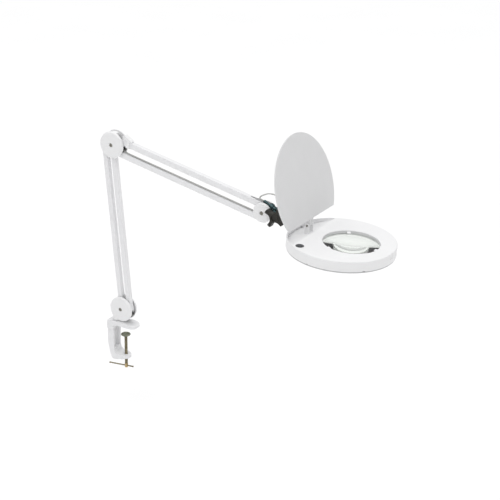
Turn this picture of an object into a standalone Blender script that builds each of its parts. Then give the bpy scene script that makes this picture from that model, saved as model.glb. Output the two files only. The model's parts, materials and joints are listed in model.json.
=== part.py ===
"""Spring-arm magnifying lamp with a desk clamp, a round lens head and a flip-up lens cover.

Lengths in this file are millimetres and are turned into metres where a mesh is made.
+Z is up, the arms lie in the XZ plane and the head points along +X.
The origin is on the underside of the clamp's jaw, below the base joint.
"""
import math

import bmesh
import bpy
from mathutils import Matrix, Vector

MM = 0.001
GAP = 0.3

# Base, elbow and end joints: centres and cover radii.
BASE = Vector((0.0, 0.0, 43.0))
ELBOW = Vector((-16.8, 0.0, 442.6))
END = Vector((375.0, 0.0, 362.2))
BASE_R = 30.0
ELBOW_R = 30.7
END_R = 22.1
COVER_IN = 7.9
COVER_OUT = 14.6
CHEEK_OUT = 10.1
PIN_HALF = 8.8
CORE_HALF = 7.5
SLOT_HALF = 6.5

# Arm tubes, square in the lower arm and a little deeper in the upper arm, and their pivot pins.
TUBE = 12.0
UPPER_DEPTH = 14.0
TUBE_WALL = 1.0
TUBE_CORNER = 1.6
PIN_R = 2.2
PIN_CLEAR = 0.25
LOWER_PINS_BASE = (Vector((-3.0, 0.0, 0.0)), Vector((19.0, 0.0, 0.0)))
LOWER_PINS_ELBOW = (Vector((-25.0, 0.0, 0.0)), Vector((-3.0, 0.0, 0.0)))
UPPER_PINS_ELBOW = (Vector((20.0, 0.0, 10.2)), Vector((13.5, 0.0, -19.0)))
UPPER_PINS_END = (Vector((2.5, 0.0, 13.2)), Vector((-4.0, 0.0, -16.0)))
TONGUE_HALF = 3.0
TONGUE_R = 5.0

# Clamp.
JAW_TOP = 9.5
JAW_HALF = 18.0
SCREW_X = 5.0
SCREW_R = 3.6
SCREW_BOTTOM = -111.5
TOMMY_LENGTH = 64.0
TOMMY_REST = -13.0
TOMMY_Z = -107.0
TOMMY_R = 1.6
TOMMY_TURN = 10.5
LUG_TOP = -75.0
PAD_R = 11.2
PAD_TOP = -23.0
STEM_R = 6.0
STEM_DEPTH = 7.5
FOOT_R = 9.5
WASHER_R = 16.0
WASHER = 1.0
FOOT_LOW = JAW_TOP + WASHER + 2 * GAP
FOOT_HIGH = 12.7
YOKE_R = 24.4

# Neck between the end joint and the head.
TILT = END + Vector((39.5, 0.0, 2.8))
NECK_ANGLE = 26.4
SHAFT_R = 6.0
SHAFT_THIN_R = 3.5
KNOB_R = 23.5
SCOOP_R = 12.2
SCOOP_FROM = 21.9
LOBE_ANGLE = 59.0
KNOB_NEAR = -32.0
KNOB_FAR = -17.5

# Head, in its own frame: origin at the lens centre on the top face, x to the front, z up.
HEAD = Vector((582.9, 0.0, 338.7))
HEAD_ANGLE = 3.0
HEAD_R = 115.4
HEAD_X = -22.0
HEAD_DEPTH = 22.0
WALL = 2.4
OPENING_R = 60.0
LENS_R = 63.5
CHORD_X = -87.0
RECESS_STEP = 4.0
RECESS_REAR = 13.0
LOWER_COVER = 2.8
DIFFUSER_R = (66.0, 89.0)
BRACKET_SCREW_Y = 11.0
BRACKET_SCREW_Z = -11.5
GLAND = Vector((HEAD_X - math.sqrt(HEAD_R ** 2 - 26.0 ** 2), 26.0, -12.0))
BUTTON = Vector((-74.0, -87.0, 0.0))
BUTTON_R = 6.3

# Lens cover, which stands open at rest.
LID_HINGE = Vector((-100.4, 0.0, 12.0))
LID_OPEN = 109.0
LID_R = 117.5
LID_EDGE_X = 12.4
LID_CENTRE_X = 77.4
LID_LEVEL = -10.2
LID_THICK = 2.2

COLOURS = {
    "white_paint": ((0.86, 0.86, 0.87), 0.38, 0.0),
    "white_plastic": ((0.88, 0.88, 0.88), 0.42, 0.0),
    "black_plastic": ((0.02, 0.02, 0.022), 0.45, 0.0),
    "steel": ((0.55, 0.55, 0.54), 0.35, 1.0),
    "chrome": ((0.75, 0.76, 0.77), 0.1, 1.0),
    "brass": ((0.62, 0.46, 0.2), 0.35, 1.0),
    "zinc": ((0.5, 0.5, 0.45), 0.45, 1.0),
    "glass": ((0.9, 0.95, 0.92), 0.03, 0.0),
    "diffuser": ((0.9, 0.9, 0.88), 0.5, 0.0),
    "circuit": ((0.8, 0.82, 0.8), 0.5, 0.0),
    "dark_cable": ((0.04, 0.04, 0.045), 0.5, 0.0),
    "grey_cable": ((0.6, 0.6, 0.58), 0.5, 0.0),
    "grey_button": ((0.12, 0.12, 0.13), 0.4, 0.0),
}


def clear_scene():
    for thing in list(bpy.data.objects):
        bpy.data.objects.remove(thing, do_unlink=True)


def make_collection(name):
    collection = bpy.data.collections.new(name)
    bpy.context.scene.collection.children.link(collection)
    return collection


clear_scene()
PARTS = make_collection("magnifying_lamp")
CUTTERS = make_collection("magnifying_lamp_cutters")


def make_material(name):
    colour, roughness, metallic = COLOURS[name]
    material = bpy.data.materials.new(name)
    material.use_nodes = True
    shader = material.node_tree.nodes["Principled BSDF"]
    shader.inputs["Base Color"].default_value = (*colour, 1.0)
    shader.inputs["Roughness"].default_value = roughness
    shader.inputs["Metallic"].default_value = metallic
    return material


MATERIALS = {name: make_material(name) for name in COLOURS}


def make_frame(name, place, angle=0.0, parent=None):
    """An empty on a joint's axis; angle turns it about Y, nose down for a positive angle."""
    empty = bpy.data.objects.new(name, None)
    empty.empty_display_size = 0.02
    empty.location = Vector(place) * MM
    empty.rotation_euler = (0.0, math.radians(angle), 0.0)
    empty.parent = parent
    PARTS.objects.link(empty)
    return empty


def add_part(name, mesh, material, frame, place=(0, 0, 0), turn=(0, 0, 0)):
    part = bpy.data.objects.new(name, mesh)
    part.parent = frame
    part.location = Vector(place) * MM
    part.rotation_euler = [math.radians(angle) for angle in turn]
    mesh.materials.clear()
    mesh.materials.append(MATERIALS[material])
    PARTS.objects.link(part)
    return part


def mesh_from(build):
    """Runs a bmesh recipe in millimetres and returns the mesh in metres."""
    bm = bmesh.new()
    build(bm)
    bmesh.ops.scale(bm, vec=(MM, MM, MM), verts=bm.verts)
    mesh = bpy.data.meshes.new("shape")
    bm.to_mesh(mesh)
    bm.free()
    return mesh


def box_mesh(low, high):
    low = Vector(low)
    high = Vector(high)

    def build(bm):
        bmesh.ops.create_cube(bm, size=1.0)
        bmesh.ops.scale(bm, vec=high - low, verts=bm.verts)
        bmesh.ops.translate(bm, vec=(low + high) / 2, verts=bm.verts)

    return mesh_from(build)


def rod_mesh(radius, start, finish, segments=32, end_radius=None):
    """A cylinder or cone from one point to another."""
    start = Vector(start)
    finish = Vector(finish)
    run = finish - start

    def build(bm):
        bmesh.ops.create_cone(
            bm, cap_ends=True, segments=segments, radius1=radius,
            radius2=radius if end_radius is None else end_radius, depth=run.length)
        aim = Vector((0, 0, 1)).rotation_difference(run).to_matrix().to_4x4()
        bmesh.ops.transform(bm, matrix=Matrix.Translation((start + finish) / 2) @ aim, verts=bm.verts)

    mesh = mesh_from(build)
    mesh.shade_smooth()
    mesh.set_sharp_from_angle(angle=math.radians(35))
    return mesh


def profile_mesh(points):
    """A closed profile of (radius, height) points for a Screw modifier about Z."""
    mesh = bpy.data.meshes.new("profile")
    corners = [(radius * MM, 0.0, height * MM) for radius, height in points]
    count = len(corners)
    mesh.from_pydata(corners, [(i, (i + 1) % count) for i in range(count)], [])
    return mesh


def turn_profile(part, steps):
    screw = part.modifiers.new("turn", "SCREW")
    screw.axis = "Z"
    screw.steps = steps
    screw.render_steps = steps
    screw.use_merge_vertices = True
    screw.merge_threshold = 0.00005
    screw.use_smooth_shade = True
    return part


def turned_part(name, points, material, frame, place=(0, 0, 0), turn=(0, 0, 0), steps=40):
    """A ring-shaped or holed solid of revolution; points run down the outer side first."""
    return turn_profile(add_part(name, profile_mesh(points), material, frame, place, turn), steps)


def outline_mesh(points, low, high):
    """A flat outline in the local XY plane, filled and extruded between two levels of Z."""
    curve = bpy.data.curves.new("outline", "CURVE")
    curve.dimensions = "2D"
    curve.fill_mode = "BOTH"
    curve.extrude = (high - low) / 2 * MM
    spline = curve.splines.new("POLY")
    spline.points.add(len(points) - 1)
    for point, corner in zip(spline.points, points):
        point.co = (corner[0] * MM, corner[1] * MM, 0.0, 1.0)
    spline.use_cyclic_u = True
    holder = bpy.data.objects.new("outline", curve)
    PARTS.objects.link(holder)
    bpy.context.view_layer.update()
    mesh = bpy.data.meshes.new_from_object(holder.evaluated_get(bpy.context.evaluated_depsgraph_get()))
    bpy.data.objects.remove(holder, do_unlink=True)
    bm = bmesh.new()
    bm.from_mesh(mesh)
    bmesh.ops.remove_doubles(bm, verts=bm.verts, dist=0.00001)
    bmesh.ops.translate(bm, vec=(0, 0, (high + low) / 2 * MM), verts=bm.verts)
    bm.to_mesh(mesh)
    bm.free()
    return mesh


def side_plate(points, low, high):
    """An outline of (x, z) points extruded along Y between two distances from the mid-plane."""
    mesh = outline_mesh(points, -high, -low)
    mesh.transform(Matrix.Rotation(math.radians(90), 4, "X"))
    return mesh


def strip_outline(start, finish, radius, steps=12):
    """A strip of (x, z) points, square at its start and round about its finish."""
    start = Vector(start)
    finish = Vector(finish)
    along = (finish - start).normalized()
    aside = Vector((-along.y, along.x))
    points = [start + aside * radius, start - aside * radius]
    for step in range(steps + 1):
        angle = math.pi * (step / steps - 0.5)
        points.append(finish + (along * math.cos(angle) + aside * math.sin(angle)) * radius)
    return [tuple(point) for point in points]


def tube_path(points, radius, sides=2):
    """A wire or cable along hand-chosen points, read from a smooth curve through them."""
    dense = []
    count = len(points)
    for index in range(count - 1):
        before = Vector(points[max(index - 1, 0)])
        start = Vector(points[index])
        finish = Vector(points[index + 1])
        after = Vector(points[min(index + 2, count - 1)])
        steps = max(2, round((finish - start).length / (5.0 * radius)))
        for step in range(steps):
            t = step / steps
            dense.append(0.5 * (2 * start + (finish - before) * t
                                + (2 * before - 5 * start + 4 * finish - after) * t * t
                                + (3 * start - before - 3 * finish + after) * t ** 3))
    dense.append(Vector(points[-1]))
    return wire_mesh(dense, radius, sides)


def wire_mesh(points, radius, sides=2):
    curve = bpy.data.curves.new("wire", "CURVE")
    curve.dimensions = "3D"
    curve.bevel_depth = radius * MM
    curve.bevel_resolution = sides
    curve.use_fill_caps = True
    spline = curve.splines.new("POLY")
    spline.points.add(len(points) - 1)
    for point, place in zip(spline.points, points):
        point.co = (place[0] * MM, place[1] * MM, place[2] * MM, 1.0)
    holder = bpy.data.objects.new("wire", curve)
    PARTS.objects.link(holder)
    bpy.context.view_layer.update()
    mesh = bpy.data.meshes.new_from_object(holder.evaluated_get(bpy.context.evaluated_depsgraph_get()))
    bpy.data.objects.remove(holder, do_unlink=True)
    bm = bmesh.new()
    bm.from_mesh(mesh)
    bmesh.ops.remove_doubles(bm, verts=bm.verts, dist=0.00001)
    bm.to_mesh(mesh)
    bm.free()
    return mesh


def tool(mesh, frame, place=(0, 0, 0), turn=(0, 0, 0)):
    """A hidden shape that cuts or joins a part."""
    shape = bpy.data.objects.new("tool", mesh)
    shape.parent = frame
    shape.location = Vector(place) * MM
    shape.rotation_euler = [math.radians(angle) for angle in turn]
    shape.display_type = "WIRE"
    shape.hide_render = True
    CUTTERS.objects.link(shape)
    return shape


def combine(part, operation, *tools):
    for shape in tools:
        step = part.modifiers.new(operation.lower(), "BOOLEAN")
        step.operation = operation
        step.solver = "EXACT"
        step.object = shape
    return part


def cut(part, *tools):
    return combine(part, "DIFFERENCE", *tools)


def join(part, *tools):
    return combine(part, "UNION", *tools)


def round_edges(part, width, angle=40):
    bevel = part.modifiers.new("edges", "BEVEL")
    bevel.width = width * MM
    bevel.segments = 1
    bevel.limit_method = "ANGLE"
    bevel.angle_limit = math.radians(angle)
    return part


def across(radius, centre, half, frame, segments=32):
    """A cylinder tool along Y through a point of the frame's XZ plane."""
    low = Vector(centre) - Vector((0, half, 0))
    high = Vector(centre) + Vector((0, half, 0))
    return tool(rod_mesh(radius, low, high, segments), frame)


def block(low, high, frame):
    return tool(box_mesh(low, high), frame)


# ---------------------------------------------------------------- joints' covers, screws and pins

def cover_profile(radius):
    """A domed cup with a countersunk screw seat; heights are distances from the mid-plane."""
    return [
        (4.9, COVER_OUT), (radius * 0.62, COVER_OUT - 0.4), (radius * 0.9, COVER_OUT - 1.6),
        (radius, COVER_OUT - 4.4), (radius, COVER_IN), (radius - 1.6, COVER_IN),
        (radius - 1.6, COVER_IN + 1.8), (radius * 0.86, 11.5), (2.4, 11.5), (2.4, 12.8), (4.9, 12.8),
    ]


def add_covers(prefix, radius, frame, foot=None):
    """Near and far covers, each with its screw."""
    for side, turn in (("near", 90), ("far", -90)):
        cover = turned_part(f"{prefix}_cover_{side}", cover_profile(radius), "white_plastic", frame,
                            turn=(turn, 0, 0), steps=28)
        if foot:
            inner, outer = sorted((COVER_IN + 0.02, COVER_OUT - 0.8), reverse=side == "near")
            if side == "near":
                inner, outer = -inner, -outer
            join(cover, block((foot[0], inner, foot[2]), (foot[1], outer, foot[3]), frame))
            cut(cover, across(radius - 1.7, (0, 0, 0), 11.3, frame, 28))
        tip = PIN_HALF + 0.6
        profile = [(0.0, 14.5), (3.2, 14.5), (4.5, 13.9), (4.5, 13.1), (1.9, 13.1), (1.9, tip), (0.0, tip)]
        solid_turned(f"{prefix}_screw_{side}", profile, "steel", frame, (turn, 0, 0), 16)


def solid_turned(name, profile, material, frame, turn=(0, 0, 0), steps=24, place=(0, 0, 0)):
    """A solid of revolution whose profile starts and ends on the axis, top to bottom."""
    mesh = bpy.data.meshes.new("profile")
    corners = [(radius * MM, 0.0, height * MM) for radius, height in profile]
    mesh.from_pydata(corners, [(i, i + 1) for i in range(len(corners) - 1)], [])
    return turn_profile(add_part(name, mesh, material, frame, place, turn), steps)


def add_pin(name, centre, frame):
    """A plain pivot pin whose ends sit inside the two cheeks."""
    profile = [(0.0, PIN_HALF), (PIN_R, PIN_HALF), (PIN_R, -PIN_HALF), (0.0, -PIN_HALF)]
    return solid_turned(name, profile, "steel", frame, (90, 0, 0), 20, centre)


def core_blank(name, radius, material, frame):
    """The core of a joint: a drum that fills the gap between the covers, with two cheeks."""
    part = add_part(name, rod_mesh(radius - 1.8, (0, -CORE_HALF, 0), (0, CORE_HALF, 0), 36), material, frame)
    join(part, across(radius - 2.7, (0, 0, 0), CHEEK_OUT, frame, 36))
    return part


def pin_holes(part, pins, frame):
    """Sockets for the pins from the inside, and for the cover screws from the outside."""
    for pin in pins:
        cut(part, across(PIN_R + PIN_CLEAR, pin, PIN_HALF + 0.2, frame, 16))
    for side in (-1, 1):
        start = (0, side * (PIN_HALF + 0.4), 0)
        cut(part, tool(rod_mesh(2.2, start, (0, side * 12.0, 0), 16), frame))


# ---------------------------------------------------------------- clamp

def clamp_outline():
    """The C-shaped side view of the clamp, with its jaw, spine and lower lug."""
    return [(-31.0, 12.3), (-24.0, 12.3), (-20.5, JAW_TOP), (20.0, JAW_TOP), (24.0, 8.0), (36.5, 7.0),
            (40.0, 5.4), (41.2, 3.0), (40.4, 0.8), (39.0, 0.0), (-14.0, 0.0), (-18.2, -1.8),
            (-20.0, -6.0), (-20.0, -60.0), (-18.4, -67.5), (-14.0, -72.8), (-7.5, LUG_TOP),
            (SCREW_X + 12.5, LUG_TOP),
            (SCREW_X + 12.5, -83.5), (-22.0, -91.0), (-27.5, -87.0), (-32.0, -74.0), (-37.0, -47.0),
            (-37.0, 3.0), (-36.0, 8.5), (-34.2, 11.2)]


def add_clamp(root):
    body = add_part("clamp_frame", outline_mesh(clamp_outline(), -JAW_HALF, JAW_HALF), "white_paint", root,
                    turn=(90, 0, 0))
    for side in (-1, 1):
        # The spine and lug are narrower than the jaw, and the nose is round in plan.
        low = (-40.0, -40.0 if side < 0 else 15.0, -95.0)
        high = (60.0, -15.0 if side < 0 else 40.0, -12.0)
        cut(body, block(low, high, root))
    nose_centre = 41.2 - JAW_HALF
    nose = box_mesh((nose_centre, -30, -5), (60, 30, 20))
    nose_tool = tool(nose, root)
    cut(nose_tool, tool(rod_mesh(JAW_HALF, (nose_centre, 0, -10), (nose_centre, 0, 30), 48), root))
    cut(body, nose_tool)
    lug = tool(box_mesh((SCREW_X, -30, -95), (40, 30, -60)), root)
    cut(lug, tool(rod_mesh(12.5, (SCREW_X, 0, -100), (SCREW_X, 0, -50), 32), root))
    cut(body, lug)
    cut(body, block((-29.0, -10.0, -62.0), (-15.0, 10.0, -10.0), root))
    cut(body, tool(rod_mesh(STEM_R + GAP, (0, 0, JAW_TOP - STEM_DEPTH - GAP), (0, 0, 30), 32), root))
    cut(body, tool(rod_mesh(SCREW_R + GAP, (SCREW_X, 0, -100), (SCREW_X, 0, -60), 32), root))
    top = JAW_TOP + GAP + WASHER
    profile = [(WASHER_R, top), (WASHER_R, top - WASHER), (STEM_R + GAP, top - WASHER), (STEM_R + GAP, top)]
    turned_part("swivel_washer", profile, "white_plastic", root, steps=32)


def add_clamp_screw(root):
    axis = make_frame("clamp_screw_axis", (SCREW_X, 0, 0), parent=root)
    neck = PAD_TOP - 4.5
    head = SCREW_R + 0.3
    profile = [(0.0, neck), (2.6, neck), (2.6, neck - 3.2), (SCREW_R, neck - 3.6), (SCREW_R, -100.0),
               (head, -100.6), (head, SCREW_BOTTOM + 0.9), (head - 0.9, SCREW_BOTTOM), (0.0, SCREW_BOTTOM)]
    screw = solid_turned("clamp_screw", profile, "brass", axis, steps=24)
    hole = rod_mesh(TOMMY_R + GAP, (-12, 0, TOMMY_Z), (12, 0, TOMMY_Z), 20)
    cut(screw, tool(hole, axis, turn=(0, 0, TOMMY_TURN)))
    pad = [(PAD_R - 1.2, PAD_TOP), (PAD_R, PAD_TOP - 1.2), (PAD_R, PAD_TOP - 2.8), (6.0, PAD_TOP - 6.2),
           (2.95, PAD_TOP - 6.2), (2.95, PAD_TOP - 4.2), (0.0, PAD_TOP - 4.2)]
    solid_turned("swivel_pad", [(0.0, PAD_TOP)] + pad, "zinc", axis, steps=32)
    half = TOMMY_LENGTH / 2
    knob = TOMMY_R + 0.8
    bar = [(0.0, half), (knob - 0.4, half), (knob, half - 0.6), (knob, half - 2.4), (TOMMY_R, half - 2.8)]
    bar += [(radius, -height) for radius, height in reversed(bar)]
    turn = Matrix.Rotation(math.radians(TOMMY_TURN), 3, "Z")
    slid = make_frame("tommy_bar_axis", turn @ Vector((TOMMY_REST, 0, TOMMY_Z)), parent=axis)
    slid.rotation_euler.z = math.radians(TOMMY_TURN)
    solid_turned("tommy_bar", bar, "brass", slid, (0, 90, 0), 16)


# ---------------------------------------------------------------- base joint

def add_base(frame):
    """The yoke that swivels in the clamp and carries the lower arm's two pins."""
    yoke = core_blank("base_yoke", BASE_R, "white_plastic", frame)
    cut(yoke, block((-60, -SLOT_HALF, -11.0), (60, SLOT_HALF, 60), frame))
    rim = block((-60, -20, -12.0), (60, 20, 60), frame)
    cut(rim, across(YOKE_R, (0, 0, 0), 30, frame, 36))
    cut(yoke, rim)
    low = FOOT_LOW - BASE.z
    high = FOOT_HIGH - BASE.z
    foot = tool(rod_mesh(FOOT_R, (0, 0, low), (0, 0, high), 40), frame)
    join(foot, block((-10.0, -6.2, low + 0.5), (10.0, 6.2, -18.0), frame))
    join(foot, tool(rod_mesh(STEM_R, (0, 0, JAW_TOP - STEM_DEPTH - BASE.z), (0, 0, low + 0.8), 32), frame))
    join(yoke, foot)
    pin_holes(yoke, LOWER_PINS_BASE, frame)
    add_lower_stop(yoke, frame)
    add_covers("base", BASE_R, frame, foot=(-22.0, -8.0, high + GAP, -14.0))
    for name, pin in zip(("base_pin_rear", "base_pin_front"), LOWER_PINS_BASE):
        add_pin(name, pin, frame)


def add_lower_stop(yoke, frame):
    """The black rubber block in the yoke's mouth, below the front tube."""
    back = 12.0
    half = SLOT_HALF - GAP
    cut(yoke, block((back, -SLOT_HALF, -40.0), (40.0, SLOT_HALF, -10.0), frame))
    mesh = box_mesh((back + GAP, -half, -25.0), (40.0, half, -9.0))
    stop = add_part("lower_stop", mesh, "black_plastic", frame)
    combine(stop, "INTERSECT", across(BASE_R - 1.6, (0, 0, 0), 30, frame, 48))


# ---------------------------------------------------------------- arm tubes

def hollow_tube(name, frame, start, length, along):
    """A hollow tube along the frame's Z or X, open at both ends."""
    half = TUBE / 2
    inner = half - TUBE_WALL
    if along == "Z":
        outer_box = box_mesh((-half, -half, start), (half, half, length))
        inner_box = box_mesh((-inner, -inner, start - 9), (inner, inner, length + 9))
    else:
        deep = UPPER_DEPTH / 2
        low = deep - TUBE_WALL
        outer_box = box_mesh((start, -half, -deep), (length, half, deep))
        inner_box = box_mesh((start - 9, -inner, -low), (length + 9, inner, low))
    part = add_part(name, outer_box, "white_paint", frame)
    edges = part.modifiers.new("corners", "BEVEL")
    edges.width = TUBE_CORNER * MM
    edges.segments = 2
    edges.limit_method = "WEIGHT"
    mark_long_edges(part.data, "xyz".index(along.lower()))
    cut(part, tool(inner_box, frame))
    return part


def mark_long_edges(mesh, axis):
    """Only the four edges along the tube are rounded."""
    weights = mesh.attributes.new("bevel_weight_edge", "FLOAT", "EDGE")
    for edge in mesh.edges:
        run = mesh.vertices[edge.vertices[1]].co - mesh.vertices[edge.vertices[0]].co
        weights.data[edge.index].value = 1.0 if abs(run[axis]) > 0.9 * run.length else 0.0


def round_end(part, frame, centre, along, sign):
    """Cuts a tube end to a half round about its pin."""
    reach = 12.0
    half = (TUBE if along == "Z" else UPPER_DEPTH) / 2
    centre = Vector(centre)
    if along == "Z":
        low = centre + Vector((-reach, -reach, 0 if sign > 0 else -reach))
        high = centre + Vector((reach, reach, reach if sign > 0 else 0))
    else:
        low = centre + Vector((0 if sign > 0 else -reach, -reach, -reach))
        high = centre + Vector((reach if sign > 0 else 0, reach, reach))
    corner = tool(box_mesh(low, high), frame)
    cut(corner, across(half, centre, reach + 1, frame, 24))
    cut(part, corner)


def add_spring(name, frame, low, high, along):
    """A coiled balance spring inside a tube, with a tail at each end."""
    turns = 12
    per_turn = 7
    radius = 3.2
    coil_low = low + 12.0
    coil_high = high - 12.0
    points = [(0.0, 0.0, low)]
    for step in range(turns * per_turn + 1):
        angle = 2 * math.pi * step / per_turn
        height = coil_low + (coil_high - coil_low) * step / (turns * per_turn)
        points.append((radius * math.cos(angle), radius * math.sin(angle), height))
    points.append((0.0, 0.0, high))
    turn = (0, 0, 0) if along == "Z" else (0, 90, 0)
    add_part(name, wire_mesh(points, 0.7, 0), "steel", frame, turn=turn)


def add_lower_arm(root):
    """Two parallel tubes; their lower ends are round, their upper ends carry a tongue."""
    top = ELBOW + LOWER_PINS_ELBOW[0]
    foot = BASE + LOWER_PINS_BASE[0]
    run = top - foot
    length = run.length
    lean = math.degrees(math.atan2(run.x, run.z))
    frames = []
    for name, pin, shoulder in (("rear", LOWER_PINS_BASE[0], 13.0), ("front", LOWER_PINS_BASE[1], 29.0)):
        frame = make_frame(f"lower_{name}_axis", BASE + pin, lean, root)
        tube = hollow_tube(f"lower_tube_{name}", frame, -TUBE / 2, length - shoulder, "Z")
        strip = strip_outline((0, length - shoulder - 14.0), (0, length), TONGUE_R + 0.2)
        join(tube, tool(side_plate(strip, -TONGUE_HALF, TONGUE_HALF), frame))
        round_end(tube, frame, (0, 0, 0), "Z", -1)
        cut(tube, across(PIN_R + PIN_CLEAR, (0, 0, 0), 12, frame, 20))
        cut(tube, across(PIN_R + PIN_CLEAR, (0, 0, length), 12, frame, 20))
        frames.append(frame)
    add_spring("lower_spring", frames[1], 30.0, 190.0, "Z")


def add_upper_arm(root):
    """Two parallel tubes whose side walls run on as tabs around the pins."""
    run = END + UPPER_PINS_END[0] - ELBOW - UPPER_PINS_ELBOW[0]
    length = run.length
    slope = math.degrees(math.atan2(-run.z, run.x))
    inner = TUBE / 2 - TUBE_WALL
    frames = []
    for name, pin, far_cut in (("top", UPPER_PINS_ELBOW[0], 25.0), ("bottom", UPPER_PINS_ELBOW[1], 9.0)):
        frame = make_frame(f"upper_{name}_axis", ELBOW + pin, slope, root)
        deep = UPPER_DEPTH / 2
        tube = hollow_tube(f"upper_tube_{name}", frame, -deep, length + deep, "X")
        # Open fork at the elbow, an open channel at the head end for the neck shaft, and a cable slot.
        cut(tube, block((-20, -inner, -20), (14.0, inner, 20), frame))
        cut(tube, block((length - far_cut, -inner, -20), (length + 20, inner, 20), frame))
        cut(tube, block((length - 38.0, -2.4, 2.0), (length, 2.4, 20.0), frame))
        round_end(tube, frame, (0, 0, 0), "X", -1)
        round_end(tube, frame, (length, 0, 0), "X", 1)
        cut(tube, across(PIN_R + PIN_CLEAR, (0, 0, 0), 12, frame, 20))
        cut(tube, across(PIN_R + PIN_CLEAR, (length, 0, 0), 12, frame, 20))
        frames.append(frame)
    add_spring("upper_spring", frames[1], 40.0, 180.0, "X")
    add_collar(frames[0])
    return frames[1], length


def add_collar(frame):
    """The moulded collar on the top tube, with a raised back that slopes down to the tube."""
    bore = TUBE / 2 + GAP
    deep = UPPER_DEPTH / 2 + GAP
    sleeve = box_mesh((17.5, -7.2, -8.2), (26.0, 7.2, 8.2))
    collar = add_part("tube_collar", sleeve, "white_plastic", frame)
    spout = [(5.0, 6.0), (5.0, 16.0), (8.5, 18.2), (28.5, 10.4), (29.5, 9.0), (29.5, 6.0)]
    join(collar, tool(side_plate(spout, -5.4, 5.4), frame))
    cut(collar, block((0, -bore, -deep), (40, bore, deep), frame))


# ---------------------------------------------------------------- elbow and end joints

def add_elbow(frame):
    core = core_blank("elbow_core", ELBOW_R, "white_plastic", frame)
    # Open all round except for a bridge at the top left.
    cut(core, block((-60, -SLOT_HALF, -60), (60, SLOT_HALF, 9.0), frame))
    cut(core, block((-6.0, -SLOT_HALF, 0.0), (60, SLOT_HALF, 20.0), frame))
    cut(core, block((9.0, -SLOT_HALF, 10.0), (60, SLOT_HALF, 40.0), frame))
    pin_holes(core, LOWER_PINS_ELBOW + UPPER_PINS_ELBOW, frame)
    add_covers("elbow", ELBOW_R, frame)
    names = ("elbow_pin_rear", "elbow_pin_front", "elbow_pin_top", "elbow_pin_bottom")
    for name, pin in zip(names, LOWER_PINS_ELBOW + UPPER_PINS_ELBOW):
        add_pin(name, pin, frame)


def add_end(frame):
    core = core_blank("end_core", END_R, "white_plastic", frame)
    shaft_axis = make_frame("shaft_axis", TILT - END, NECK_ANGLE, frame)
    join(core, tool(rod_mesh(CORE_HALF - 0.03, (-29.0, 0, 0), (-22.0, 0, 0), 32), shaft_axis))
    cut(core, block((-60, -SLOT_HALF, -60), (10.5, SLOT_HALF, 60), frame))
    cut(core, tool(rod_mesh(SHAFT_R + GAP, (-60, 0, 0), (20, 0, 0), 32), shaft_axis))
    pin_holes(core, UPPER_PINS_END, frame)
    add_covers("end", END_R, frame)
    for name, pin in zip(("end_pin_top", "end_pin_bottom"), UPPER_PINS_END):
        add_pin(name, pin, frame)


# ---------------------------------------------------------------- neck and tilt knob

def add_neck(frame):
    """A hollow swivel shaft that ends in a fork around the tilt bolt."""
    profile = [(SHAFT_R, -14.0), (SHAFT_R, -30.5), (SHAFT_THIN_R, -31.0), (SHAFT_THIN_R, -46.5),
               (1.9, -46.5), (1.9, -14.0)]
    shaft = turned_part("neck_shaft", profile, "chrome", frame, turn=(0, 90, 0), steps=32)
    fork = tool(side_plate(strip_outline((-14.8, 0), (0, 0), 8.0, 20), -9.0, 9.0), frame)
    cut(fork, block((-10.5, -5.8, -30), (30, 5.8, 30), frame))
    join(shaft, fork)
    cut(shaft, across(3.3, (0, 0, 0), 12, frame, 24))
    nut = add_part("tilt_nut", rod_mesh(6.2, (0, 9.3, 0), (0, 14.0, 0), 6), "steel", frame)
    cut(nut, across(3.3, (0, 0, 0), 20, frame, 24))


def knob_outline():
    """A disc with four round scoops out of its edge; the lobes left between them are set by a rule."""
    points = []
    count = 48
    for step in range(count):
        angle = 2 * math.pi * step / count
        off = (math.degrees(angle) - LOBE_ANGLE) % 90.0 - 45.0
        side = SCOOP_FROM * math.sin(math.radians(off))
        radius = KNOB_R
        if abs(side) < SCOOP_R:
            scoop = SCOOP_FROM * math.cos(math.radians(off)) - math.sqrt(SCOOP_R ** 2 - side ** 2)
            radius = min(KNOB_R, max(scoop, 0.0))
        points.append((radius * math.cos(angle), radius * math.sin(angle)))
    return points


def add_knob(frame):
    """A four-lobed hand knob on its bolt."""
    knob = add_part("tilt_knob", outline_mesh(knob_outline(), -KNOB_FAR, -KNOB_NEAR), "black_plastic", frame,
                    turn=(90, 0, 0))
    cut(knob, tool(rod_mesh(6.5, (0, KNOB_NEAR - 1, 0), (0, KNOB_NEAR + 2.0, 0), 32), frame))
    cut(knob, across(3.25, (0, KNOB_FAR, 0), 9.0, frame, 24))
    profile = [(0.0, 15.5), (2.95, 15.5), (2.95, KNOB_FAR - 8.2), (0.0, KNOB_FAR - 8.2)]
    solid_turned("tilt_bolt", profile, "steel", frame, (-90, 0, 0), 20)


# ---------------------------------------------------------------- head

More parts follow.
